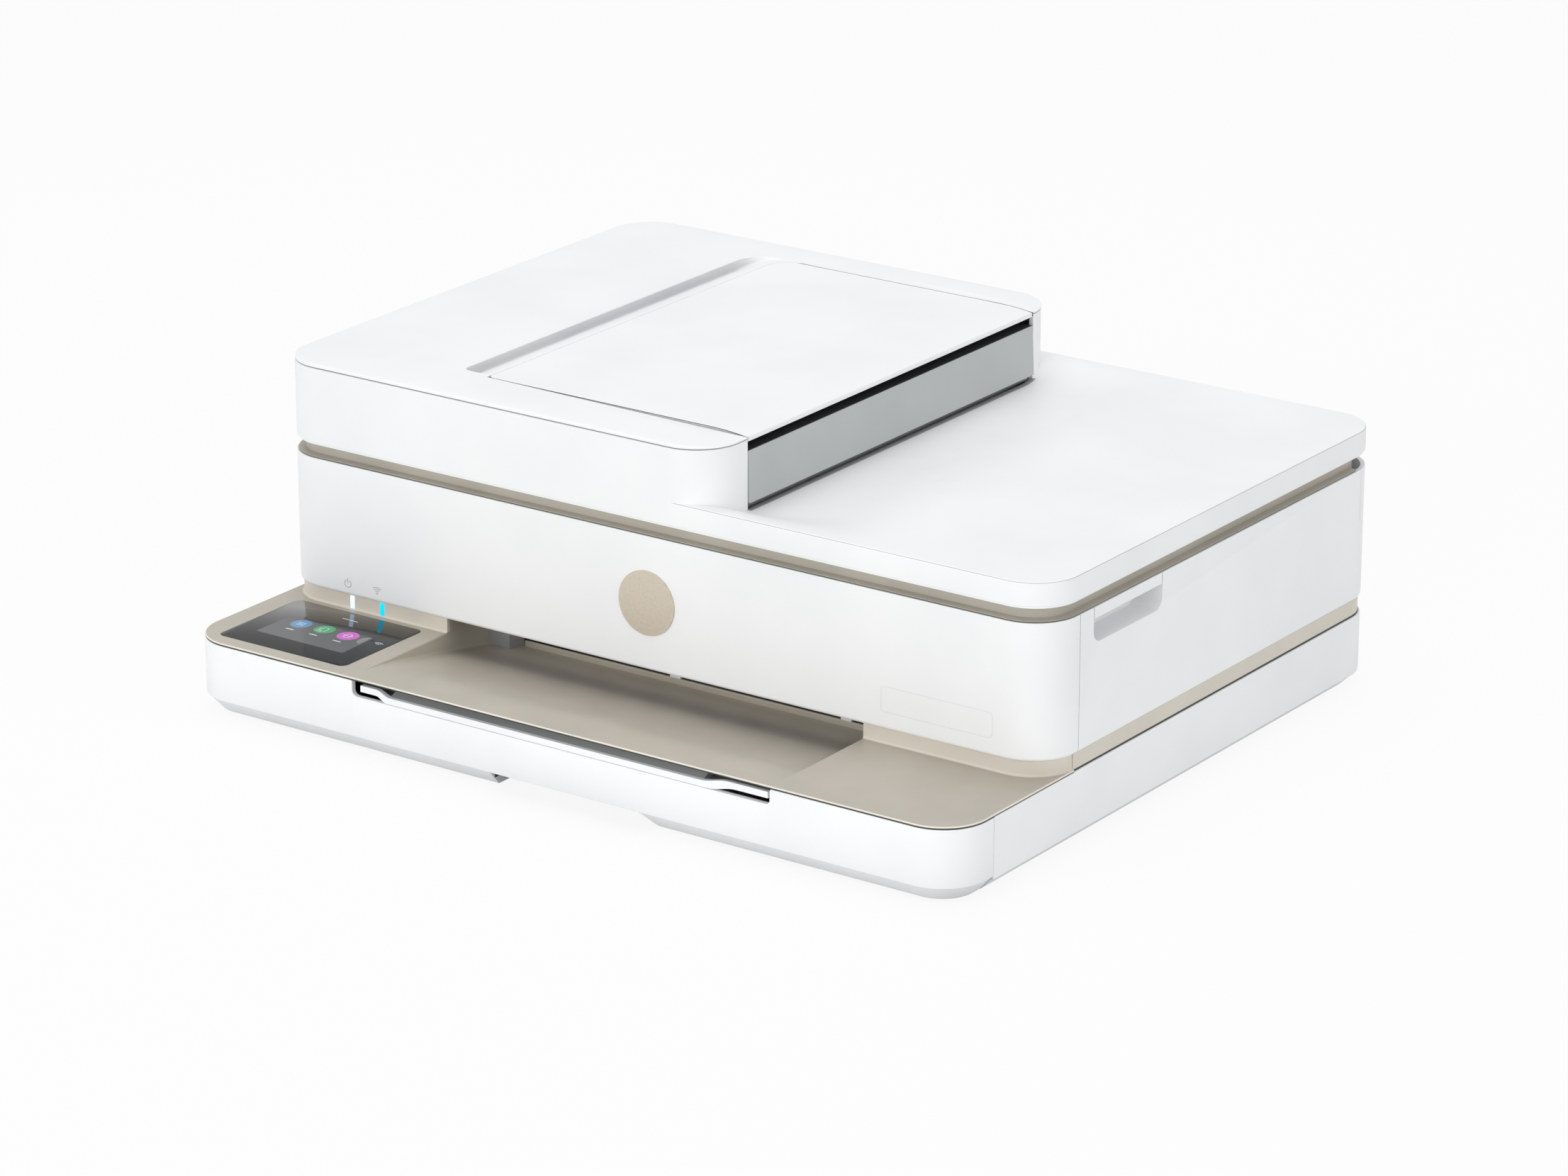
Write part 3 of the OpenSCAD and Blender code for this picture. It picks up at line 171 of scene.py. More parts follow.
def lightGuides(name, left, right):
    # one colour on each side of splitX, brighter towards the upper end
    g = guides
    material, tree, shader = newShader(name)
    coords = tree.nodes.new("ShaderNodeTexCoord")
    split = tree.nodes.new("ShaderNodeSeparateXYZ")
    feed(split, "Vector", coords.outputs["Object"])
    side = calculate(tree, "GREATER_THAN", split.outputs["X"], g["splitX"] * mm)
    fade = addNode(tree, "ShaderNodeMapRange")
    fade.inputs["From Min"].default_value, fade.inputs["From Max"].default_value = g["fadeLow"] * mm, g["fadeHigh"] * mm
    fade.inputs["To Min"].default_value = g["strength"] * g["lowShare"]
    fade.inputs["To Max"].default_value = g["strength"]
    feed(fade, "Value", split.outputs["Z"])
    colours = mixColours(tree, side, left, right, 0.4, 0.6)
    feed(shader, "Base Color", colours)
    feed(shader, "Emission Color", colours)
    feed(shader, "Emission Strength", fade.outputs["Result"])
    shader.inputs["Roughness"].default_value = 0.3
    return material


def circuitBoard(name):
    # green board with paler tracks between its cells
    material, tree, shader = newShader(name)
    cells = addNode(tree, "ShaderNodeTexVoronoi", Scale=260)
    cells.feature = "DISTANCE_TO_EDGE"
    feed(cells, "Vector", objectCoords(tree))
    tracks = mixColours(tree, cells.outputs["Distance"], tone(64, 122, 74), tone(22, 78, 46), 0.02, 0.05)
    feed(shader, "Base Color", tracks)
    shader.inputs["Roughness"].default_value = 0.42
    bumpFrom(tree, shader, cells.outputs["Distance"], 0.3, 0.05)
    return material


def screenGlass(name):
    # black glass with faint smears
    material, tree, shader = newShader(name)
    faint = noise(tree, objectCoords(tree), 40, 2)
    feed(shader, "Base Color", mixColours(tree, faint, tone(20, 22, 23), tone(26, 28, 29)))
    feed(shader, "Roughness", spread(tree, faint, 0.03, 0.07))
    shader.inputs["IOR"].default_value = 1.4
    return material


finish = {
    "white_shell": moulded("whiteShell", (242, 243, 243), (237, 238, 239), 0.46, 1500, 0.04, 0.2),
    "pan_plastic": moulded("panPlastic", (226, 227, 228), (220, 221, 222), 0.5, 1400, 0.04, 0.2),
    "beige_deck": moulded("beigeDeck", (182, 175, 162), (176, 169, 156), 0.38, 1700, 0.05, 0.35, 30),
    "grey_plastic": moulded("greyPlastic", (160, 162, 163), (152, 154, 156), 0.5, 1300, 0.05, 0.3),
    "light_grey": moulded("lightGrey", (186, 188, 188), (178, 181, 181), 0.48, 1300, 0.05, 0.3),
    "dark_plastic": moulded("darkPlastic", (52, 53, 55), (44, 45, 47), 0.5, 1200, 0.05, 0.3),
    "rubber": moulded("rubber", (46, 46, 47), (36, 36, 37), 0.75, 700, 0.1, 0.5, 60),
    "steel": brushed("steel", (196, 198, 200), (176, 178, 181), 0.3, (0.15, 4, 4)),
    "champagne": brushed("champagne", (213, 203, 187), (204, 194, 178), 0.34, (1, 1, 1), 0.75, 900, 0.1),
    "screen_glass": screenGlass("screenGlass"),
    "clear_glass": clearGlass("clearGlass", tone(232, 240, 238)),
    "gear_plastic": moulded("gearPlastic", (233, 228, 212), (224, 218, 200), 0.4, 1200, 0.04, 0.2),
    "brass": brushed("brass", (214, 182, 112), (196, 162, 92), 0.3, (4, 4, 0.3)),
    "blue_guide": moulded("blueGuide", (72, 118, 168), (62, 106, 156), 0.45, 1200, 0.04, 0.25),
    "board_green": circuitBoard("circuitBoard"),
    "light_pipe": lightGuides("lightPipe", tone(206, 232, 255), tone(0, 196, 240)),
    "white_foam": moulded("whiteFoam", (243, 243, 241), (239, 239, 237), 0.85, 700, 0.15, 0.4, 120),
}
print("shaders made:", len(finish))


def arc(cx, cy, r, start, stop, steps=12):
    # path points with their outward directions
    out = []
    for i in range(steps + 1):
        a = math.radians(start + (stop - start) * i / steps)
        out.append((cx + r * math.cos(a), cy + r * math.sin(a), math.cos(a), math.sin(a)))
    return out


def corners(x0, y0, x1, y1, r, which=(2, 3, 0, 1), steps=12):
    # rounded corners of a rectangle: 0 rear right, 1 rear left, 2 front left, 3 front right
    out = []
    for k in which:
        cx, cy = x0 + r if k in (1, 2) else x1 - r, y0 + r if k > 1 else y1 - r
        out += arc(cx, cy, r, 90 * k, 90 * k + 90, steps)
    return out


def softPolygon(points, radii, steps=4):
    # polygon with its corners rounded, as points
    out = []
    count = len(points)
    for i, p in enumerate(points):
        p = Vector(p)
        before, after = Vector(points[i - 1]) - p, Vector(points[(i + 1) % count]) - p
        r = radii[i] if isinstance(radii, (list, tuple)) else radii
        if r <= 0:
            out.append(tuple(p))
            continue
        half = before.angle(after) / 2
        reach = min(r / math.tan(half), before.length * 0.49, after.length * 0.49)
        a, b = p + before.normalized() * reach, p + after.normalized() * reach
        for k in range(steps + 1):
            t = k / steps
            out.append(tuple(a * (1 - t) ** 2 + p * 2 * t * (1 - t) + b * t * t))
    return out


def disc(cx, cy, r, count):
    # outline of a round part, as points
    turn = 2 * math.pi / count
    return [(cx + r * math.cos(turn * k), cy + r * math.sin(turn * k)) for k in range(count)]


def point(bm, x, y, z):
    # vertex at a place in millimetres
    return bm.verts.new((x * mm, y * mm, z * mm))


def tubeOf(bm, rings):
    # walls between closed rings of vertices, and a cap on each end
    for a, b in zip(rings, rings[1:]):
        for i in range(len(a)):
            k = (i + 1) % len(a)
            bm.faces.new((a[i], b[i], b[k], a[k]))
    bm.faces.new(rings[0])
    bm.faces.new(list(reversed(rings[-1])))


def sweep(bm, path, profile):
    # closed profile of (inset, z) along a path of points with outward directions
    tubeOf(bm, [[point(bm, x - nx * d, y - ny * d, z) for d, z in profile] for x, y, nx, ny in path])


def skinRows(bm, rows, wrap=False):
    # four-sided faces between neighbouring rows of vertices
    made = []
    for a, b in zip(rows, rows[1:]):
        for i in range(len(a) if wrap else len(a) - 1):
            k = (i + 1) % len(a)
            made.append(bm.faces.new((a[i], a[k], b[k], b[i])))
    return made


def prism(bm, outline, axis, low, high):
    # outline of two coordinates, pulled along the third axis
    def place(p, value):
        spot = [p[0] * mm, p[1] * mm]
        spot.insert("xyz".index(axis), value * mm)
        return bm.verts.new(spot)
    a = [place(p, low) for p in outline]
    b = [place(p, high) for p in outline]
    for i in range(len(a)):
        k = (i + 1) % len(a)
        bm.faces.new((a[i], a[k], b[k], b[i]))
    bm.faces.new(list(reversed(a)))
    bm.faces.new(b)


def fillRegion(bm, loops, height, spacing, inside):
    # triangulated skin over closed loops of (x, y), with inner points on a grid
    points, edges = [], []
    for loop in loops:
        start = len(points)
        points += [Vector(p) for p in loop]
        edges += [(start + i, start + (i + 1) % len(loop)) for i in range(len(loop))]
    xs, ys = [p.x for p in points], [p.y for p in points]
    x = min(xs) + spacing
    while x < max(xs):
        y = min(ys) + spacing
        while y < max(ys):
            if inside(x, y):
                points.append(Vector((x, y)))
            y += spacing
        x += spacing
    made = delaunay_2d_cdt(points, edges, [], 2, 1e-6)
    verts = [point(bm, p.x, p.y, height(p.x, p.y)) for p in made[0]]
    for face in made[2]:
        cx = sum(made[0][i].x for i in face) / len(face)
        cy = sum(made[0][i].y for i in face) / len(face)
        if inside(cx, cy, 0.0):
            bm.faces.new([verts[i] for i in face])


def makePiece(name, bm, body, slotName, material=None, replaced=(), smooth=35, recalc=True, more=()):
    # recalc turns the faces of closed shapes outwards; skins that already point out leave it off
    bmesh.ops.remove_doubles(bm, verts=bm.verts, dist=1e-6)
    if recalc:
        bmesh.ops.recalc_face_normals(bm, faces=bm.faces)
    mesh = bpy.data.meshes.new(name)
    bm.to_mesh(mesh)
    bm.free()
    piece = bpy.data.objects.new(name, mesh)
    bpy.context.scene.collection.objects.link(piece)
    mesh.shade_smooth()
    mesh.set_sharp_from_angle(angle=math.radians(smooth))
    for one in [material or finish[slotName], *more]:
        mesh.materials.append(one)
    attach(piece, body)
    if replaced:
        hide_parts(*replaced)
    return piece


def rise(v, a, b):
    # 0 below a, 1 above b, and a smooth step between them
    t = max(0.0, min(1.0, (v - a) / (b - a)))
    return (1 - math.cos(math.pi * t)) / 2


for part in frame["record"]["subparts"]:
    held = frame["nodes"][part["node"]]
    held.data.materials.clear()
    held.data.materials.append(finish[part["material_slot"]])
# lighter copy of the deck's beige for the band under the body and for the frame, a painted light
litBandBeige = moulded("litBandBeige", (214, 207, 194), (208, 201, 188), 0.4, 1700, 0.05, 0.3, 30)
frame["nodes"]["mid_frame"].data.materials[0] = litBandBeige
print("CAD nodes shaded")


panels = {"edge": 0.5, "segments": 2, "sharpAngle": 35}


def panelCopy(name, node, slotName="white_shell", body="base"):
    # merged copy of a CAD node with small edge radii
    bm = bmesh.new()
    bm.from_mesh(frame["nodes"][node].data)
    bmesh.ops.remove_doubles(bm, verts=bm.verts, dist=2e-6)
    bmesh.ops.dissolve_limit(bm, angle_limit=math.radians(0.4), verts=bm.verts, edges=bm.edges)
    piece = makePiece(name, bm, body, slotName, None, [node], smooth=30, recalc=False)
    bevel = piece.modifiers.new("softEdges", "BEVEL")
    bevel.width, bevel.segments = panels["edge"] * mm, panels["segments"]
    bevel.limit_method, bevel.angle_limit = "ANGLE", math.radians(panels["sharpAngle"])
    bevel.harden_normals = True
    bevel.miter_outer = "MITER_ARC"


for copied in (("frontPanel", "front_fascia"), ("leftSidePanel", "left_panel"), ("rightSidePanel", "right_panel"),
               ("rearCover", "hinge_cover"), ("rearWall", "rear_panel"), ("sideWalls", "base_shell"),
               ("scannerRim", "scanner_bezel", "beige_deck", "scanner_unit"),
               ("scannerTub", "scanner_base", "white_shell", "scanner_unit"),
               ("extenderLip", "output_extender", "white_shell", "extender"),
               ("jamDoor", "rear_door", "white_shell", "rear_door")):
    panelCopy(*copied)


# slightly darker copy of the deck's beige for the scanner's rim, a painted shade where it sits under the lid
shadedRimBeige = moulded("shadedRimBeige", (178, 172, 160), (171, 165, 153), 0.42, 1700, 0.05, 0.35, 30)
bpy.data.objects["scannerRim"].data.materials[0] = shadedRimBeige

ledge = {"rearEnd": 156.0, "profile": [(3.6, 0.45), (0.75, 0.45), (0.6, 0.6), (0.7, 0.8), (4.3, 1.5), (4.3, 0.45)],
         "shadowLine": [(3.6, 0.06), (1.0, 0.06), (1.0, 0.47), (3.6, 0.47)]}


def rimLedge():
    # beige ledge of the scanner's rim over the top edge of the body, in the darker rim beige as painted shade, with a
    # dark strip under it as a painted shadow line
    s, end = shell, ledge["rearEnd"]
    r, z = s["corner"], s["rimTop"]
    path = [(s["left"], end, -1, 0), *corners(s["left"], s["bodyFront"], s["right"], s["back"], r, (2, 3), 16),
            (s["right"], end, 1, 0)]
    bm = bmesh.new()
    sweep(bm, path, [(d, z + up) for d, up in ledge["profile"]])
    plain = set(bm.faces)
    sweep(bm, path, [(d, z + up) for d, up in ledge["shadowLine"]])
    for face in set(bm.faces) - plain:
        face.material_index = 1
    makePiece("rimLedge", bm, "scanner_unit", "beige_deck", shadedRimBeige, smooth=40, recalc=False,
              more=[finish["dark_plastic"]])


rimLedge()

# the extender is white at its front and light grey from the given y backwards, the grey a painted shade under the
# deck's edge
shadeFromY = -176.9
extender = bpy.data.objects["extenderLip"]
extender.data.materials.append(finish["light_grey"])
for face in extender.data.polygons:
    if face.center.y > shadeFromY * mm:
        face.material_index = 1
print("body panels made")


trayFace = {"bottom": 9.15, "top": 36.35, "thick": 2.5, "rearY": -151.0, "notchLeft": -116.0, "notchRight": 118.0,
            "notchZ": 29.0, "notchRound": 2.6, "edge": 0.45}


def trayFront():
    # front and corners of the tray, with the notch for the output extender
    s, t = shell, trayFace
    r, left, right, fr = s["corner"], s["left"], s["right"], s["front"]
    xl, xr, zn, k, top = t["notchLeft"], t["notchRight"], t["notchZ"], t["notchRound"], t["top"]
    leftArc = [(left, t["rearY"], -1, 0)] + corners(left, fr, right, 0, r, [2], 16)
    rightArc = corners(left, fr, right, 0, r, [3], 16) + [(right, t["rearY"], 1, 0)]
    leftArc, rightArc = [[(*spot, top) for spot in side] for side in (leftArc, rightArc)]
    turns = [(math.sin(math.pi / 12 * i), math.cos(math.pi / 12 * i)) for i in range(7)]
    leftCorner = [(xl + k - k * co, fr, 0, -1, zn + k - k * si) for si, co in turns]
    rightCorner = [(xr - k + k * si, fr, 0, -1, zn + k - k * co) for si, co in turns]
    stations = leftArc + [(xl - 0.5, fr, 0, -1, top), (xl, fr, 0, -1, top - 0.5)] + leftCorner + rightCorner
    stations += [(xr, fr, 0, -1, top - 0.5), (xr + 0.5, fr, 0, -1, top)] + rightArc
    e, thick = t["edge"], t["thick"]
    bm = bmesh.new()
    rings = []
    for x, y, nx, ny, high in stations:
        profile = [(0.15, t["bottom"]), (0, t["bottom"] + 0.2), (0, high - e), (e * 0.29, high - e * 0.29), (e, high),
                   (thick, high), (thick, t["bottom"])]
        rings.append([point(bm, x - nx * d, y - ny * d, z) for d, z in profile])
    tubeOf(bm, rings)
    makePiece("trayFace", bm, "tray", "white_shell", None, ["tray_front", "tray_corners"], smooth=38)


trayFront()
print("tray face made")


lid = {"edge": 0.8, "dish": 7.8, "blend": 27.0, "dishEnd": 116.0, "grid": 3.2}


def lidHeight(x, y):
    # the lid dips beside the feeder and rises to its right and to its front and rear edges
    y0, y1 = shell["bodyFront"] + 3, shell["back"] - 3
    sink = (1 - rise(x, shell["feederRight"] + 1, lid["dishEnd"]))
    sink *= rise(y, y0, y0 + lid["blend"]) * (1 - rise(y, y1 - lid["blend"], y1))
    return shell["lidTop"] - lid["dish"] * sink


def insideRounded(x, y, x0, y0, x1, y1, r, margin):
    # is the point in the rounded rectangle, by more than the margin
    dx, dy = max(x0 + r - x, x - x1 + r, 0), max(y0 + r - y, y - y1 + r, 0)
    if not (x0 + margin < x < x1 - margin and y0 + margin < y < y1 - margin):
        return False
    return dx * dx + dy * dy < (r - margin) ** 2 or dx == 0 or dy == 0


def lidPlate():
    # lid's edge with a thin grey line on it as painted shade, its dished skin and the dark strip under the feeder's
    # wall as painted shadow
    s, e = shell, lid["edge"]
    r, right, fr, bk = s["corner"], s["right"], s["bodyFront"], s["back"]
    x0 = s["feederRight"] - r
    bm = bmesh.new()
    path = [(x0, fr, 0, -1), *corners(x0, fr, right, bk, r, (3, 0)), (x0, bk, 0, 1)]
    bottom, top = s["lidBottom"], s["lidTop"]
    under = 1.2
    edgeProfile = [(0.9, bottom), (0.9, bottom + under - 0.3), (0.6, bottom + under), (0.15, bottom + under),
                   (0, bottom + under + 0.15), (0, top - e), (e * 0.08, top - e * 0.62), (e * 0.29, top - e * 0.29),
                   (e * 0.62, top - e * 0.08), (e, top), (3, top - 0.6), (3, bottom)]
    sweep(bm, path, edgeProfile)
    # light grey on a thin band of the rounded top edge, a painted shade line
    for face in bm.faces:
        height = face.calc_center_median().z / mm
        if top - e * 0.29 - 0.02 > height > top - e * 0.62 + 0.02:
            face.material_index = 1
    rim = [(x - nx * e, y - ny * e) for x, y, nx, ny in path]
    wallX = s["feederRight"] - 1.2
    count = 90
    inner = [(x - nx * 1.2, y - ny * 1.2) for x, y, nx, ny in arc(wallX + 1.2 - r, bk - r, r, 90, 0, 14)]
    inner += [(wallX, bk - r - (bk - fr - 2 * r) * i / count) for i in range(1, count)]
    inner += [(x - nx * 1.2, y - ny * 1.2) for x, y, nx, ny in arc(wallX + 1.2 - r, fr + r, r, 360, 270, 14)]
    loop = rim + inner

    def inside(x, y, margin=1.4):
        if not insideRounded(x, y, s["left"], fr, right, bk, r, max(margin, e * 0.99 if margin else 0.0)):
            return False
        return not insideRounded(x, y, s["left"], fr, wallX + 1.2, bk, r, 1.2 - margin if margin else 1.2)
    fillRegion(bm, [loop], lidHeight, lid["grid"], inside)
    # dark strip where the sheets come out under the feeder's wall, a painted shadow of the exit
    rows = []
    for i in range(61):
        y = s["flapFront"] + (s["flapRear"] - s["flapFront"]) * i / 60
        rows.append([point(bm, x, y, lidHeight(x, y) + 0.04) for x in (wallX + 0.1, s["feederRight"] + 2.0)])
    for face in skinRows(bm, rows):
        face.material_index = 2
    makePiece("lidPlate", bm, "lid", "white_shell", None, ["lid_shell"], smooth=40, recalc=False,
              more=[finish["light_grey"], finish["grey_plastic"]])


lidPlate()
print("lid plate made")


tower = {"floor": 121.0, "slot": [(-178, -80), (-162, -80), (-162, 142), (-178, 142)],
         "bosses": ((-170, 133.5), (-122, 140.37)), "bossRadius": 5.0}


def feederTower():
    # walls and floor of the feeder, and the underside of the lid
    s, t = shell, tower
    r, left, right, fr, bk = s["corner"], s["left"], s["feederRight"], s["bodyFront"], s["back"]
    bottom, top, under = s["lidBottom"], s["feederTop"], 1.2
    bm = bmesh.new()
    # walls round the feeder, open at the document exit
    path = [(right, s["flapRear"], 1, 0), *corners(left, fr, right, bk, r, range(4)), (right, s["flapFront"], 1, 0)]
    wallProfile = [(0.9, bottom), (0.9, bottom + under - 0.3), (0.6, bottom + under), (0.15, bottom + under),
                   (0, bottom + under + 0.15), (0, top - 0.25), (0.25, top), (s["wall"] - 0.2, top),
                   (s["wall"], top - 0.2), (s["wall"], bottom)]
    sweep(bm, path, wallProfile)
    # floor of the feeder and underside of the lid, with the slot over the reading window
    slot, floor = t["slot"], t["floor"]
    for z, inset, x1 in ((floor, 2.0, right), (bottom + 0.02, 1.0, s["right"])):
        outline = [(x - nx * inset, y - ny * inset) for x, y, nx, ny in corners(left, fr, x1, bk, r)]

        def inside(x, y, margin=3.0):
            return not margin and not (slot[0][0] < x < slot[1][0] and slot[0][1] < y < slot[2][1])
        start = len(bm.faces)
        fillRegion(bm, [outline, slot], lambda x, y, z=z: z, 500, inside)
        bm.faces.ensure_lookup_table()
        if z < floor:
            bmesh.ops.reverse_faces(bm, faces=bm.faces[start:])
    for (ax, ay), (bx, by) in zip(slot, slot[1:] + slot[:1]):
        quad = [point(bm, px, py, z) for px, py, z in
                ((ax, ay, floor), (bx, by, floor), (bx, by, bottom), (ax, ay, bottom))]
        bm.faces.new(quad)
    # bosses that carry the two feeder shafts
    for px, pz in t["bosses"]:
        for y0, y1 in ((fr + 1, fr + s["wall"] + 4), (bk - s["wall"] - 4, bk - 1)):
            prism(bm, disc(px, pz, t["bossRadius"], 32)[::-1], "y", y0, y1)
    makePiece("feederTower", bm, "lid", "white_shell", None, ["lid_shell"], smooth=40, recalc=False)


feederTower()
print("feeder tower made")


cover = {"crown": 0.7, "reach": 9.0, "droop": 1.5, "droopLength": 22.0, "edge": 0.9, "lift": 0.55,
         "grooveX": -130.0, "gap": 0.3, "seam": 0.8, "seamDepth": 0.2, "seamWidth": 1.1, "flapLeft": -113.0}
# outline of the cover's edge as (inset, share of its height), with the neck below it, dark as a painted shadow in the
# seam
coverEdge = ((2.1, -1.0), (1.7, -1.0), (1.7, 0.0), (0.15, 0.0), (0.0, 0.1), (0.0, 0.62), (0.06, 0.8), (0.28, 0.93),
             (cover["edge"], 1.0))
# finger groove across its length: hollow under the cover's edge, then one long curve up to the flap
grooveSection = [(0, 0), (-0.1, 0.4), (-2.2, 0.8), (-4.6, 1.7), (-5.6, 3.2), (-4.6, 4.6), (-1.9, 5.3), (0.8, 5.0),
                 (3.0, 4.1), (5.5, 2.9), (8.0, 1.95), (10.5, 1.15), (13.0, 0.5), (15.0, 0.14), (16.9, 0.02)]


def coverHeight(x, y):
    # gentle crown near the edges, and the fall of the surface towards the exit
    s, c = shell, cover
    fall = c["crown"] * math.exp(-max(0.0, y - s["bodyFront"]) / c["reach"])
    fall += c["crown"] * math.exp(-max(0.0, s["back"] - y) / c["reach"])
    fall += c["crown"] * math.exp(-max(0.0, x - s["left"]) / c["reach"])
    t = max(0.0, (x - (s["feederRight"] - c["droopLength"])) / c["droopLength"])
    return s["coverTop"] - min(fall, c["crown"]) - c["droop"] * t ** 2.2


def flapSide(y):
    # left side of the flap: small round at its front corner, long one at its rear corner
    s, c = shell, cover
    for near, size in ((y - s["flapFront"] - c["seam"], 2.5), (s["flapRear"] - c["seam"] - y, 12.0)):
        if near < size:
            return c["flapLeft"] + size - math.sqrt(max(0.0, size ** 2 - (size - max(near, 0.0)) ** 2))
    return c["flapLeft"]


def feederCover():
    # top of the feeder, with the flap's opening and the finger groove
    s, c = shell, cover
    r, left, right, fr, bk, e = s["corner"], s["left"], s["feederRight"], s["bodyFront"], s["back"], c["edge"]
    y0, y1 = s["flapFront"], s["flapRear"]
    bm = bmesh.new()
    # edge all round, from one end of the flap's opening to the other
    path = [(right, y1, 1, 0), *corners(left, fr, right, bk, r, range(4)), (right, y0, 1, 0)]
    base = s["feederTop"] + c["lift"]
    rings = []
    for d, f in coverEdge:
        ring = []
        for x, y, nx, ny in path:
            px, py = x - nx * d, y - ny * d
            top = coverHeight(x - nx * e, y - ny * e)
            z = s["feederTop"] if f < 0 else base + (top - base) * f
            ring.append(point(bm, px, py, z))
        rings.append(ring)
    # the neck's faces get the dark plastic, a painted shadow under the cover's edge
    for face in skinRows(bm, rings)[len(path) - 1:2 * (len(path) - 1)]:
        face.material_index = 1
    bm.faces.new([ring[0] for ring in rings])
    bm.faces.new([ring[-1] for ring in reversed(rings)])
    gx = c["grooveX"]
    flapX = c["flapLeft"] - c["gap"]
    yLow, yHigh = y0 + 3, y1

    def grooveLeft(y):
        # the mouth's left side, with a small round at the front end and a long one at the rear
        for near, size in ((y - yLow, 4.0), (yHigh - y, 15.0)):
            if near < size:
                return gx + size - math.sqrt(max(0.0, size ** 2 - (size - near) ** 2))
        return gx

    steps = [0, 0.15, 0.5, 1, 1.6, 2.4, 3.2, 4, 5.5]
    stations = [yLow + d for d in steps] + [yLow + 12 + (yHigh - yLow - 36) * i / 20 for i in range(21)]
    stations += [yHigh - d for d in (18, 15, 12.5, 10, 8, 6, 4.5, 3, 2, 1.2, 0.6, 0.2, 0)]
    front = [(flapX, yLow)] + [(grooveLeft(y), y) for y in stations]
    rim = [(x - nx * e, y - ny * e) for x, y, nx, ny in path[1:-1]]
    loop = rim + [(right - e, y0), (flapX, y0)] + front + [(right - e, y1)]

    def inOpening(x, y, grow=0.0):
        if x > flapX - grow and y0 - grow < y < y1 + grow:
            return True
        return grooveLeft(min(max(y, yLow), yHigh)) - grow < x < flapX + 1 and yLow - grow < y < yHigh + grow

    def inside(x, y, margin=1.2):
        if not insideRounded(x, y, left, fr, right, bk, r, max(margin, 0.0) + (e if margin else e * 0.98)):
            return False
        return not inOpening(x, y, margin)
    # skin: whole outline with the flap's and the groove's opening cut out
    fillRegion(bm, [loop], coverHeight, 4.0, inside)
    # rim of the flap's opening turned down to the feeder's walls
    for edge in ([(right, y0), (flapX, y0), (flapX, yLow)], [(flapSide(y1), y1), (right, y1)]):
        up = [point(bm, x, y, coverHeight(x, y)) for x, y in edge]
        down = [point(bm, x, y, s["feederTop"] - 0.6) for x, y in edge]
        for i in range(len(edge) - 1):
            bm.faces.new((up[i + 1], up[i], down[i], down[i + 1]))
    # dark strip low in the gap round the flap, a painted shadow
    pieces, seam = 24, c["seamWidth"]
    for x0, x1, low, high in ((flapX - 0.1, right - 0.4, y0, y0 + seam), (flapSide(y1), right - 0.4, y1 - seam, y1)):
        for i in range(pieces):
            a, b = x0 + (x1 - x0) * i / pieces, x0 + (x1 - x0) * (i + 1) / pieces
            quad = [(a, low), (b, low), (b, high), (a, high)]
            bm.faces.new([point(bm, x, y, coverHeight(x, y) - c["seamDepth"])
                          for x, y in quad]).material_index = 1
    # finger groove, shallower towards its two ends
    wide = c["flapLeft"] - gx - 0.01
    rows = []
    for y in stations:
        x0 = grooveLeft(y)
        size = (flapSide(max(y, y0 + 3.4)) - 0.01 - x0) / wide
        nearFront, nearRear = min(1.0, (y - yLow) / 6.0), min(1.0, (yHigh - y) / 18.0)
        share = math.sqrt(max(0.0, 1 - (1 - nearFront) ** 2)) * nearRear * (2 - nearRear)
        level = coverHeight(x0, y)
        rows.append([point(bm, x0 + dx * (size if dx > 0 else share), y, level - dz * share)
                     for dx, dz in grooveSection])
    skinRows(bm, rows)
    makePiece("feederCover", bm, "lid", "white_shell", None, ["adf_cover"], smooth=40, recalc=False,
              more=[finish["dark_plastic"]])


feederCover()


flap = {"thick": 2.6, "lipHeight": 2.3, "topCount": 23, "pinX": 30.2, "pinZ": 153.3, "pinRadius": 1.5}


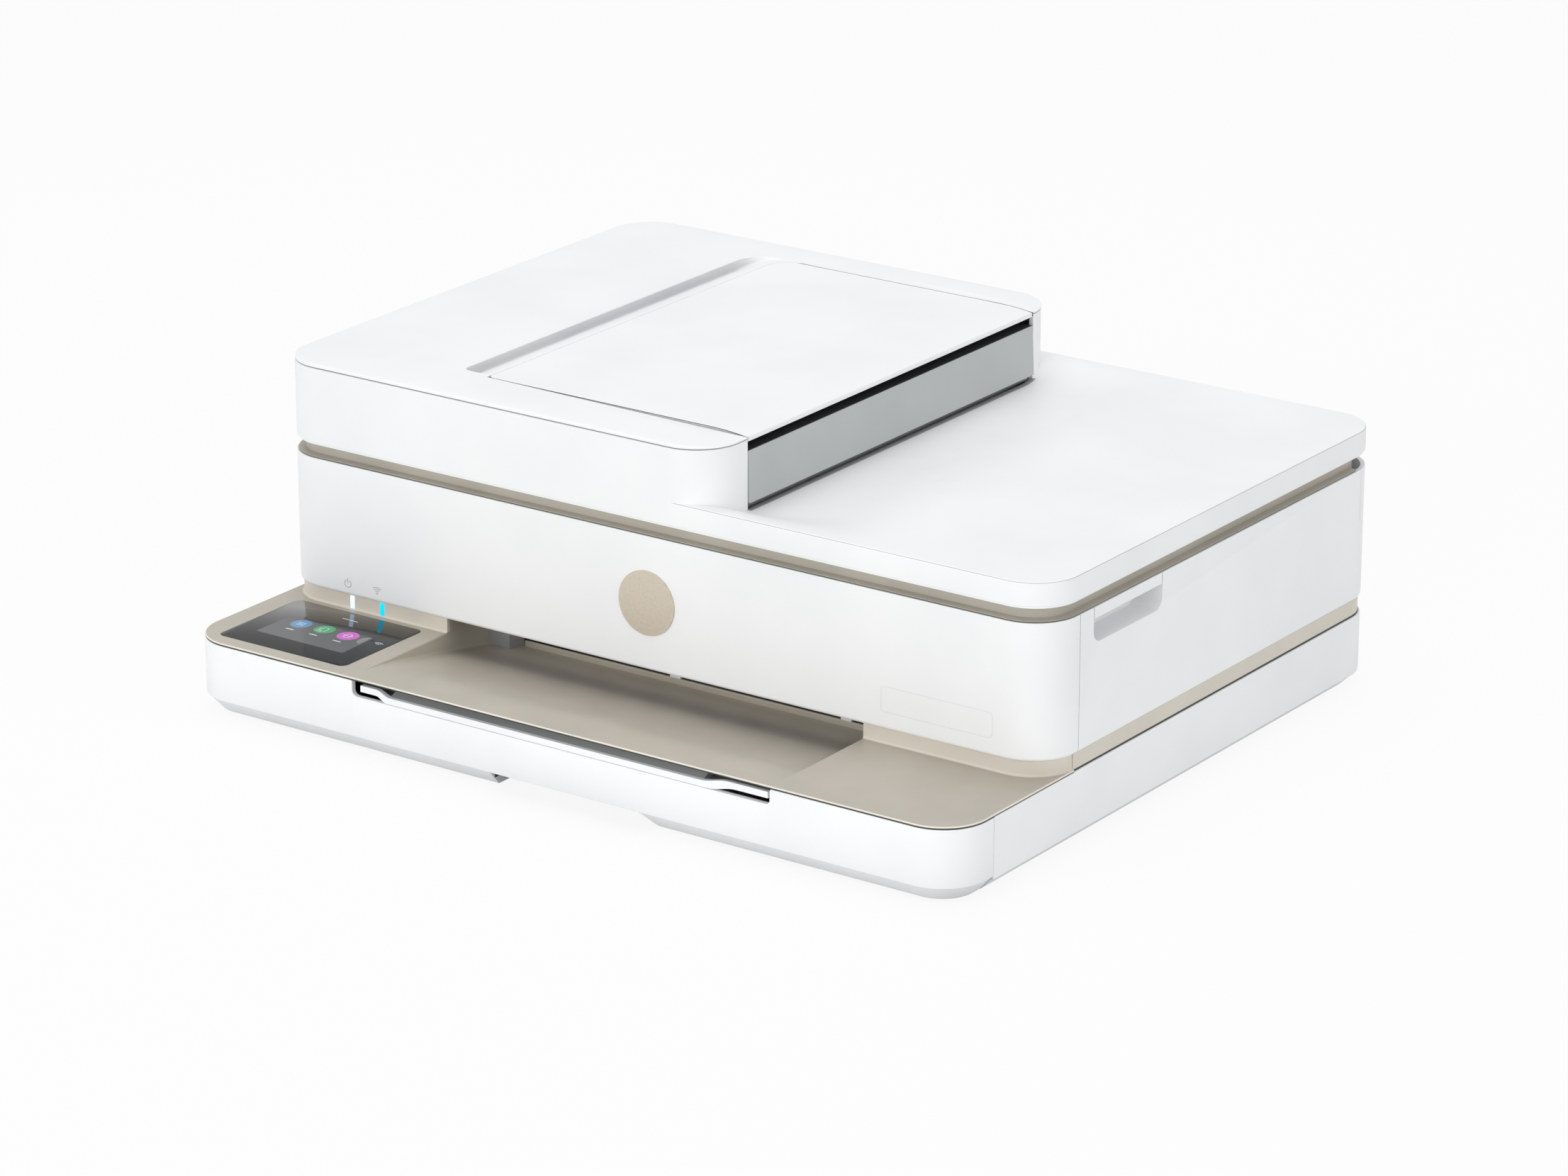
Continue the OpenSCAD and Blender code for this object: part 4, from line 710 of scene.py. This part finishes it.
def feederFlap():
    # flap over the feeder, with its lip at the sheet exit and its two hinge pins
    s, c, f = shell, cover, flap
    y0, y1 = s["flapFront"] + c["seam"], s["flapRear"] - c["seam"]
    right = s["feederRight"] - 0.2
    bm = bmesh.new()
    thick, lipHeight = f["thick"], f["lipHeight"]

    def section(y):
        left = flapSide(y)
        xs = [left, left + 0.15, left + 0.6, left + 1.4]
        xs += [left + 1.4 + (right - 15.4 - left) * i / 8 for i in range(1, 9)]
        xs += [right - 14 + 14 * i / 10 for i in range(1, 10)] + [right - 0.5, right - 0.1]
        top = [(x, coverHeight(x, y)) for x in xs]
        top[0] = (left, top[0][1] - 0.02)
        top[1] = (left + 0.15, top[1][1] - 0.005)
        endZ = top[-1][1]
        lip = [(right, endZ - 0.25), (right, endZ - lipHeight + 0.3), (right - 0.3, endZ - lipHeight),
               (right - 7, endZ - lipHeight), (right - 9, coverHeight(right - 9, y) - thick)]
        below = [(x, coverHeight(x, y) - thick) for x in reversed(xs[3:-12])]
        return top + lip + below + [(left + 3, top[0][1] - thick + 0.9), (left, top[0][1] - 0.7)]
    ys = [y0 + d for d in (0, 0.12, 0.4, 0.9, 1.6, 2.5)] + [y0 + 2.5 + (y1 - y0 - 14.5) * i / 36 for i in range(1, 37)]
    ys += [y1 - d for d in (10, 8, 6, 4.5, 3, 2, 1.2, 0.7, 0.4, 0.12, 0)]
    drop = {0: 0.16, 1: 0.04, len(ys) - 2: 0.04, len(ys) - 1: 0.16}
    rows = []
    for k, y in enumerate(ys):
        lower = drop.get(k, 0.0)
        rows.append([point(bm, x, y, z - (lower if i < f["topCount"] else 0))
                     for i, (x, z) in enumerate(section(y))])
    skinRows(bm, rows, True)
    bm.faces.new(list(reversed(rows[0])))
    bm.faces.new(rows[-1])
    pin = disc(f["pinX"], f["pinZ"], f["pinRadius"], 16)
    prism(bm, pin, "y", y0 - 3.2, y0 + 1)
    prism(bm, pin, "y", y1 - 1, y1 + 3.2)
    makePiece("feederFlap", bm, "adf_flap", "white_shell", None, ["adf_flap"], smooth=35)


feederFlap()


throatShade = {"left": 21.0, "height": 148.3, "slope": 0.09, "thick": 0.15}


def throatShadowSheet():
    # dark sheet on the bed's end under the open side of the flap, a painted shadow in the throat
    s = shell
    bm = bmesh.new()
    level = [(x, throatShade["height"] + 0.05 - (s["feederRight"] - x) * throatShade["slope"])
             for x in (throatShade["left"], s["feederRight"] - 0.1)]
    ring = level + [(x, z + throatShade["thick"]) for x, z in reversed(level)]
    prism(bm, ring, "y", s["flapFront"] + 0.6, s["flapRear"] - 0.6)
    makePiece("throatShadowSheet", bm, "lid", "dark_plastic")


throatShadowSheet()
print("feeder cover and flap made")


deck = {"recessLeft": -117.3, "recessRight": 118.0, "recessStart": -161.0, "slope": math.tan(math.radians(9.9)),
        "blend": 9.0, "back": -63.0, "seamY": -86.8, "seamTop": 0.4, "seamBottom": 1.07,
        "edge": 0.6, "topRound": 0.7, "footRound": 1.6}


def recessDepth(y):
    # flush at the front edge, then an even slope to the rear
    behind, width = y - deck["recessStart"], deck["blend"]
    if behind < -width:
        return 0.0
    if behind < width:
        return deck["slope"] * width * ((behind + width) / (2 * width)) ** 2
    return behind * deck["slope"]


def deckSurface():
    # beige deck with its sloped recess, its edge in near-white beige as a painted highlight, a dark strip under the
    # edge as painted shadow and the band under the body in lighter beige as painted light
    s, d = shell, deck
    r, e = s["corner"], d["edge"]
    fr, left, right, top = s["front"], s["left"], s["right"], s["deckTop"]
    bm = bmesh.new()
    frontArcs = corners(left, fr, right, 0, r, (2, 3), 16)
    path = [(left, d["seamY"], -1, 0), *frontArcs, (right, d["seamY"], 1, 0)]
    rim = [(0, 0.6), (0, e * 0.99), (e * 0.08, e * 0.62), (e * 0.29, e * 0.29), (e * 0.62, e * 0.08), (e, 0), (4, 0.05),
           (4, 1.2), (2.9, 2.0), (2.9, 0.6)]
    sweep(bm, path, [(inset, top - down) for inset, down in rim])
    # faces of the rounded edge, which get the painted highlight
    highlightFaces = set()
    for face in bm.faces:
        height, tilt = face.calc_center_median().z, face.normal.z
        small = face.calc_area() < 1e-5
        if height > (top - 0.45) * mm and tilt < 0.95 or height > (top - 0.1) * mm and small and tilt < 0.999:
            highlightFaces.add(face)
    # rows from the front edge back, each with its right end, which follows the rounded corner
    known = dict(sorted((y - ny * e, x - nx * e) for x, y, nx, ny in frontArcs[len(frontArcs) // 2:]))
    y = max(known) + 2.0
    while y < d["back"]:
        known[y] = right - e
        y += 2.0
    known[d["back"]] = right - e
    for k in range(14):
        y = fr + 2 + k * 1.5
        known[y] = right - e if y >= fr + r else right - r + math.sqrt((r - e) ** 2 - (fr + r - y) ** 2)
    rows = []
    rl, rr = d["recessLeft"], d["recessRight"]
    for y in sorted(known):
        limit = known[y]
        h = recessDepth(y)
        a = min(d["topRound"], h * 0.4)
        b = min(d["footRound"], h * 0.45)
        half = [(-a + a * math.sin(math.pi / 2 * k / 4), -a + a * math.cos(math.pi / 2 * k / 4)) for k in range(5)]
        half += [(b - b * math.cos(math.pi / 2 * k / 5), -h + b - b * math.sin(math.pi / 2 * k / 5)) for k in range(6)]
        leftSide = [(rl + dx, top + dz) for dx, dz in half]
        rightSide = [(rr - dx, top + dz) for dx, dz in reversed(half)]
        if y > d["seamY"]:
            outerL, outerR = [(rl - 2.0, top)] * 3, [(rr + 2.0, top)] * 3
        else:
            outerL = [(-limit, top), (-limit * 0.6 + rl * 0.4, top), (rl - 3, top)]
            outerR = [(rr + 3, top), (limit * 0.6 + rr * 0.4, top), (limit, top)]
        floor = [(rl + (rr - rl) * k / 12, top - h) for k in range(1, 12)]
        rows.append([point(bm, x, y, z) for x, z in outerL + leftSide + floor + rightSide + outerR])
    skinRows(bm, rows)
    bmesh.ops.dissolve_degenerate(bm, edges=bm.edges, dist=1e-6)
    # band below the body, left and right of the slot
    bf, band = s["bodyFront"] + 1.5, s["bandTop"]
    rb = r - 1.5
    beforeBand = set(bm.faces)
    bandProfile = [(-1.0, top), (-0.45, top + 0.12), (-0.12, top + 0.45), (0, top + 1.0), (0, band), (2, band),
                   (2, top)]
    leftEnd, rightEnd = (left + 1.5, d["seamY"], -1, 0), (right - 1.5, d["seamY"], 1, 0)
    sweep(bm, [leftEnd, *arc(left + 1.5 + rb, bf + rb, rb, 180, 270), (rl, bf, 0, -1)], bandProfile)
    sweep(bm, [(rr, bf, 0, -1), *arc(right - 1.5 - rb, bf + rb, rb, 270, 360), rightEnd], bandProfile)
    bandFaces = set(bm.faces) - beforeBand
    # side walls of the recess above the deck's level, under the body, and the strip at its rear
    for x0, x1 in ((rl - 1.8, rl), (rr, rr + 1.8)):
        prism(bm, [(bf + 2.02, top - 0.7), (d["back"], top - 0.7), (d["back"], band), (bf + 2.02, band)], "x", x0, x1)
    z = top - recessDepth(d["back"])
    y0, y1 = d["back"] - 1.5, d["back"]
    strip = softPolygon([(y0, z - 1.8), (y1, z - 1.8), (y1, z + 3), (y0, z + 3)], [0, 0, 0.6, 0.6])
    prism(bm, strip, "x", rl + 12.2, rr - 0.1)
    # dark strip in the rebate under the deck's edge, a painted shadow for the gap above the tray
    plain = set(bm.faces)
    sweep(bm, path, [(0.3, top - 1.32), (0.3, top - 0.58), (3.2, top - 0.58), (3.2, top - 1.32)])
    # index 1 is the rebate's painted shadow, 2 the edge's painted highlight and 3 the band's lighter beige as painted
    # light
    for face in bm.faces:
        if face not in plain:
            face.material_index = 1
        elif face in highlightFaces:
            face.material_index = 2
        elif face in bandFaces:
            face.material_index = 3
    # near-white beige, a painted highlight on the edge
    highlightBeige = moulded("highlightBeige", (232, 227, 214), (226, 221, 208), 0.3, 1700, 0.05, 0.2, 30)
    makePiece("deckSurface", bm, "base", "beige_deck", None, ["output_deck"], smooth=40, recalc=False,
              more=[finish["dark_plastic"], highlightBeige, litBandBeige])


deckSurface()


def frameSeamShadow():
    # dark strip in the gap between the beige frame and the side walls, round the rear, a painted shadow
    s = shell
    r, y0 = s["corner"], deck["seamY"]
    path = [(s["right"], y0, 1, 0), *corners(s["left"], s["front"], s["right"], s["back"], r, (0, 1), 16),
            (s["left"], y0, -1, 0)]
    bm = bmesh.new()
    low, high = s["deckTop"] - deck["seamBottom"], s["deckTop"] - deck["seamTop"]
    sweep(bm, path, [(1.0, low), (1.0, high), (3.0, high), (3.0, low)])
    makePiece("frameSeamShadow", bm, "base", "dark_plastic")


frameSeamShadow()
print("deck made")


screen = {"x0": -203.9, "x1": -127.8, "y0": -171.0, "y1": -111.5, "corner": 4.0, "top": 37.75}


def displayGlass():
    # glass plate with a softened edge
    d = screen
    bm = bmesh.new()
    path = corners(d["x0"], d["y0"], d["x1"], d["y1"], d["corner"], steps=8)
    top = d["top"]
    rings = [[point(bm, x - nx * inset, y - ny * inset, z) for x, y, nx, ny in path]
             for inset, z in ((0, top - 1.0), (0, top - 0.2), (0.06, top - 0.06), (0.2, top))]
    skinRows(bm, rings, True)
    bm.faces.new(rings[0])
    bm.faces.new(rings[-1])
    makePiece("displayGlass", bm, "base", "screen_glass", None, ["display_glass"], smooth=40)


displayGlass()


marks = {"height": 0.12, "line": 0.34, "powerX": -175.3, "powerZ": 50.8, "wirelessX": -157.7, "wirelessZ": 49.3,
         "ring": 1.9, "dot": 0.45, "arcs": (1.2, 2.2, 3.2), "plateRound": 2.2, "plateLine": 0.3,
         "plate": ((128.5, 53.3), (187.3, 53.3), (187.3, 65.2), (128.5, 65.2)),
         "tabs": ((12.3, 18.1), (106.5, 112.1)), "tabLow": 44.2, "tabHigh": 45.4}


def ribbon(bm, points, width, place, low, high, closed=False):
    # flat strip along a line of points; place(u, v, w) gives the corner in space
    count = len(points)
    rings = []
    for i, (u, v) in enumerate(points):
        a = points[i - 1] if closed or i else points[i]
        b = points[(i + 1) % count] if closed or i < count - 1 else points[i]
        du, dv = b[0] - a[0], b[1] - a[1]
        size = math.hypot(du, dv) or 1.0
        nu, nv = -dv / size * width / 2, du / size * width / 2
        rings.append([bm.verts.new(place(u + nu * sign, v + nv * sign, w)) for sign, w in
                      ((1, low), (1, high), (-1, high), (-1, low))])
    if not closed:
        tubeOf(bm, rings)
        return
    for a, b in zip(rings, rings[1:] + rings[:1]):
        for j in range(4):
            k = (j + 1) % 4
            bm.faces.new((a[j], b[j], b[k], a[k]))


def onFront(u, v, w):
    return (u * mm, (shell["bodyFront"] - w) * mm, v * mm)


def ringPoints(cu, cv, r, start, stop, steps=24):
    # points along a part of a circle
    return [(cu + r * math.cos(math.radians(start + (stop - start) * i / steps)),
             cv + r * math.sin(math.radians(start + (stop - start) * i / steps))) for i in range(steps + 1)]


def frontMarks():
    # raised power ring and wireless arcs, grey as painted shade along embossed lines, and the empty name plate's
    # outline, a little darker as painted shade of its groove
    m = marks
    bm = bmesh.new()
    x, z = m["powerX"], m["powerZ"]
    ribbon(bm, ringPoints(x, z, m["ring"], 125, 415), m["line"], onFront, -0.1, m["height"])
    ribbon(bm, [(x, z + 0.2), (x, z + 2.7)], m["line"], onFront, -0.1, m["height"])
    x, z = m["wirelessX"], m["wirelessZ"]
    for r in m["arcs"]:
        ribbon(bm, ringPoints(x, z, r, 42, 138, 14), m["line"], onFront, -0.1, m["height"])
    prism(bm, disc(x, z, m["dot"], 12), "y", shell["bodyFront"] - m["height"], shell["bodyFront"] + 0.1)
    makePiece("frontMarks", bm, "base", "light_grey")
    bm = bmesh.new()
    ribbon(bm, softPolygon(m["plate"], m["plateRound"], 5), m["plateLine"], onFront, -0.1, m["height"] / 2, True)
    makePiece("nameOutline", bm, "base", "pan_plastic")


frontMarks()


def glyphShader(name, colour, strength):
    # lit picture element with a faint unevenness
    material, tree, shader = newShader(name)
    uneven = noise(tree, objectCoords(tree), 900, 2)
    deep = tuple(c * 0.8 for c in colour[:3]) + (1,)
    shade = mixColours(tree, uneven, deep, colour)
    feed(shader, "Base Color", shade)
    feed(shader, "Emission Color", shade)
    shader.inputs["Emission Strength"].default_value = strength
    feed(shader, "Roughness", spread(tree, uneven, 0.1, 0.25))
    return material


def onScreen(u, v, w):
    return (u * mm, v * mm, (screen["top"] + w) * mm)


picture = {
    "live": ((-192.0, -156.5), (-140.2, -156.9), (-140.6, -132.9), (-192.2, -131.6)), "liveRound": 0.8,
    "round": (("displayBlue", tone(70, 128, 176), (-180.7, -137.4, 5.2)),
              ("displayGreen", tone(44, 150, 92), (-166.9, -137.1, 5.2)),
              ("displayMagenta", tone(196, 84, 190), (-152.4, -137.5, 5.4))),
    "half": (-140.7, -138.2, 4.6, 5.0), "page": [(-1.5, -2.2), (1.5, -2.2), (1.5, 1.2), (0.6, 2.2), (-1.5, 2.2)],
    "arcsAt": (-134.2, -139.4), "topLine": [(-169.8, -120.1), (-160.5, -120.4)],
}


def displayPicture():
    # live area, three round symbols and a half one, short plain bars under them, one thin line above
    p, top = picture, screen["top"]

    def flat(name, outline, low, high, shader):
        bm = bmesh.new()
        prism(bm, outline, "z", top + low, top + high)
        makePiece(name, bm, "base", "screen_glass", shader)
    live = softPolygon(p["live"], p["liveRound"], 4)
    flat("displayArea", live, -0.06, 0.006, glyphShader("displayArea", tone(62, 64, 66), 0.3))
    x, y, across, along = p["half"]
    half = [(x - across * math.cos(math.radians(a)), y + along * math.sin(math.radians(a))) for a in range(-80, 81, 10)]
    flat("displayGrey", half, -0.05, 0.02, glyphShader("displayGrey", tone(120, 122, 124), 0.15))
    for name, colour, (x, y, r) in p["round"]:
        flat(name, disc(x, y, r, 48), -0.05, 0.02, glyphShader(name, colour, 0.22))
    bm = bmesh.new()

    def line(points, width=0.4, high=0.035, closed=False):
        ribbon(bm, points, width, onScreen, -0.02, high, closed)
    for k, (name, colour, (x, y, r)) in enumerate(p["round"]):
        if k == 0:
            for dy in (-1.4, 0, 1.4):
                line([(x - 2.2, y + dy), (x + 2.2, y + dy)])
        else:
            line([(x + u, y + v) for u, v in p["page"]], closed=True)
            behind = [(x - 2.6, y + 1.4), (x - 2.6, y - 3.2), (x + 0.6, y - 3.2)]
            line(behind if k == 1 else [(x - 3.0, y), (x + 3.0, y)])
        line([(x - 2.2, y - 8.4), (x + 2.2, y - 8.4)], 0.8, 0.03)
    line(p["topLine"], 0.5, 0.03)
    for r in marks["arcs"]:
        line(ringPoints(*p["arcsAt"], r, 42, 138, 14), 0.3, 0.03)
    makePiece("displaySymbols", bm, "base", "screen_glass", glyphShader("displaySymbols", tone(196, 208, 212), 0.3))


displayPicture()


teeth = {"count": 184, "pitch": 2.0, "size": (1.0, 4.0, 0.6), "startX": -183.0, "y": 6.0, "lowZ": 65.85, "highZ": 77.75}


def beltTeeth():
    # one row of teeth on each run of the belt, laid out by geometry nodes
    t = teeth
    group = bpy.data.node_groups.new("toothRows", "GeometryNodeTree")
    socket, add, wire = group.interface.new_socket, group.nodes.new, group.links.new
    for way in ("INPUT", "OUTPUT"):
        socket("Geometry", in_out=way, socket_type="NodeSocketGeometry")
    wanted = {"Count": ("Int", t["count"]), "Pitch": ("Float", t["pitch"] * mm),
              "Tooth Size": ("Vector", [v * mm for v in t["size"]]), "Material": ("Material", finish["rubber"]),
              "Low Row": ("Vector", [t["startX"] * mm, t["y"] * mm, t["lowZ"] * mm]),
              "High Row": ("Vector", [t["startX"] * mm, t["y"] * mm, t["highZ"] * mm])}
    keys = {name: socket(name, in_out="INPUT", socket_type="NodeSocket" + kind).identifier
            for name, (kind, value) in wanted.items()}
    source, result = add("NodeGroupInput"), add("NodeGroupOutput")
    step, cube, join = add("ShaderNodeCombineXYZ"), add("GeometryNodeMeshCube"), add("GeometryNodeJoinGeometry")
    wire(source.outputs["Pitch"], step.inputs["X"])
    wire(source.outputs["Tooth Size"], cube.inputs["Size"])
    for row in ("Low Row", "High Row"):
        line = add("GeometryNodeMeshLine")
        wire(source.outputs["Count"], line.inputs["Count"])
        wire(source.outputs[row], line.inputs["Start Location"])
        wire(step.outputs[0], line.inputs["Offset"])
        wire(line.outputs[0], join.inputs[0])
    place, real, paint = (add("GeometryNode" + kind) for kind in
                          ("InstanceOnPoints", "RealizeInstances", "SetMaterial"))
    wire(join.outputs[0], place.inputs["Points"])
    wire(cube.outputs["Mesh"], place.inputs["Instance"])
    wire(place.outputs[0], real.inputs[0])
    wire(real.outputs[0], paint.inputs["Geometry"])
    wire(source.outputs["Material"], paint.inputs["Material"])
    wire(paint.outputs[0], result.inputs[0])
    holder = bpy.data.objects.new("beltTeeth", bpy.data.meshes.new("beltTeethBase"))
    bpy.context.scene.collection.objects.link(holder)
    modifier = holder.modifiers.new("toothRows", "NODES")
    modifier.node_group = group
    for name, (kind, value) in wanted.items():
        modifier[keys[name]] = value
    view = bpy.context.evaluated_depsgraph_get()
    mesh = bpy.data.meshes.new_from_object(holder.evaluated_get(view), depsgraph=view)
    holder.modifiers.remove(modifier)
    holder.data = mesh
    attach(holder, "base")
    print("belt teeth made:", len(mesh.polygons), "faces")


beltTeeth()


def slotTabs():
    # two small tabs that show under the edge of the front, above the slot
    bm = bmesh.new()
    low, high = marks["tabLow"], marks["tabHigh"]
    for x0, x1 in marks["tabs"]:
        outline = softPolygon([(x0, low), (x1, low), (x1, high), (x0, high)], 0.3)
        prism(bm, outline, "y", shell["bodyFront"] + 0.5, shell["bodyFront"] + 2.0)
    makePiece("slotTabs", bm, "base", "light_grey")


slotTabs()
print("marks and display picture made")


studio = {"floorSize": 14.0, "floorShade": 0.82, "floorWhite": 0.9, "worldPower": 0.56,
          "worldColour": (0.97, 0.985, 1.0, 1)}


def seenDirectly(tree):
    # 1 where the camera, a reflection or glass looks at the background, and 0 where it only lights the scene
    path = tree.nodes.new("ShaderNodeLightPath")
    seen = path.outputs["Is Camera Ray"]
    for name in ("Is Glossy Ray", "Is Transmission Ray"):
        seen = calculate(tree, "MAXIMUM", seen, path.outputs[name])
    return seen


def blendInto(tree, outKind, factor, first, second):
    # mix two shaders by the factor, as the tree's only surface
    out, mix = tree.nodes.new(outKind), tree.nodes.new("ShaderNodeMixShader")
    for k, socket in enumerate((factor, first.outputs[0], second.outputs[0])):
        tree.links.new(socket, mix.inputs[k])
    feed(out, "Surface", mix.outputs[0])


def stageFloor():
    size, shade = studio["floorSize"], studio["floorShade"]
    mesh = bpy.data.meshes.new("floor")
    mesh.from_pydata([(-size, -size, 0), (size, -size, 0), (size, size, 0), (-size, size, 0)], [], [(0, 1, 2, 3)])
    floor = bpy.data.objects.new("floor", mesh)
    bpy.context.scene.collection.objects.link(floor)
    material = bpy.data.materials.new("floorPaper")
    material.use_nodes = True
    tree = material.node_tree
    tree.nodes.clear()
    paper = addNode(tree, "ShaderNodeBsdfDiffuse", Color=(shade, shade, shade, 1))
    white = addNode(tree, "ShaderNodeEmission", Strength=1.0)
    share = calculate(tree, "MULTIPLY", seenDirectly(tree), studio["floorWhite"])
    blendInto(tree, "ShaderNodeOutputMaterial", share, paper, white)
    mesh.materials.append(material)


def whiteWorld():
    world = bpy.data.worlds.new("studio")
    bpy.context.scene.world = world
    world.use_nodes = True
    tree = world.node_tree
    tree.nodes.clear()
    soft = addNode(tree, "ShaderNodeBackground", Strength=studio["worldPower"], Color=studio["worldColour"])
    plain = addNode(tree, "ShaderNodeBackground", Strength=1.0, Color=(1, 1, 1, 1))
    blendInto(tree, "ShaderNodeOutputWorld", seenDirectly(tree), soft, plain)


stageFloor()
whiteWorld()


def areaLight(name, place, aim, size, power):
    # rectangular lamp turned towards aim
    lamp = bpy.data.lights.new(name, "AREA")
    lamp.shape = "RECTANGLE"
    lamp.size, lamp.size_y = size
    lamp.energy = power
    holder = bpy.data.objects.new(name, lamp)
    bpy.context.scene.collection.objects.link(holder)
    holder.location = place
    holder.rotation_euler = (Vector(aim) - Vector(place)).to_track_quat("-Z", "Y").to_euler()


# place, aim, size and power of each lamp; slotFill stands for light that bounces inside the paper slot
lamps = {"topSoftbox": ((-0.3, 0.2, 2.2), (0, 0, 0.1), (2.2, 2.2), 20.5),
         "frontSoftbox": ((-0.2, -2.5, 0.66), (0, 0, 0.08), (2.6, 1.1), 26.5),
         "slotFill": ((0.0, -0.077, 0.0418), (0, -0.077, 0.02), (0.216, 0.018), 0.0075),
         "sideSoftbox": ((2.6, -0.3, 0.9), (0, 0, 0.08), (1.8, 1.4), 13.5)}
for name, lamp in lamps.items():
    areaLight(name, *lamp)

view = {"lens": 133.86, "sensor": 36.0, "place": (1.4835, -2.1036, 0.9715), "tilt": 70.357, "turn": 35.21, "far": 60.0}
lens = bpy.data.cameras.new("lens")
lens.sensor_fit = "HORIZONTAL"
lens.sensor_width, lens.lens, lens.clip_end = view["sensor"], view["lens"], view["far"]
eye = bpy.data.objects.new("eye", lens)
bpy.context.scene.collection.objects.link(eye)
eye.location = view["place"]
eye.rotation_euler = (math.radians(view["tilt"]), 0.0, math.radians(view["turn"]))
bpy.context.scene.camera = eye
bpy.context.scene.view_settings.view_transform = "Standard"
print("stage set")
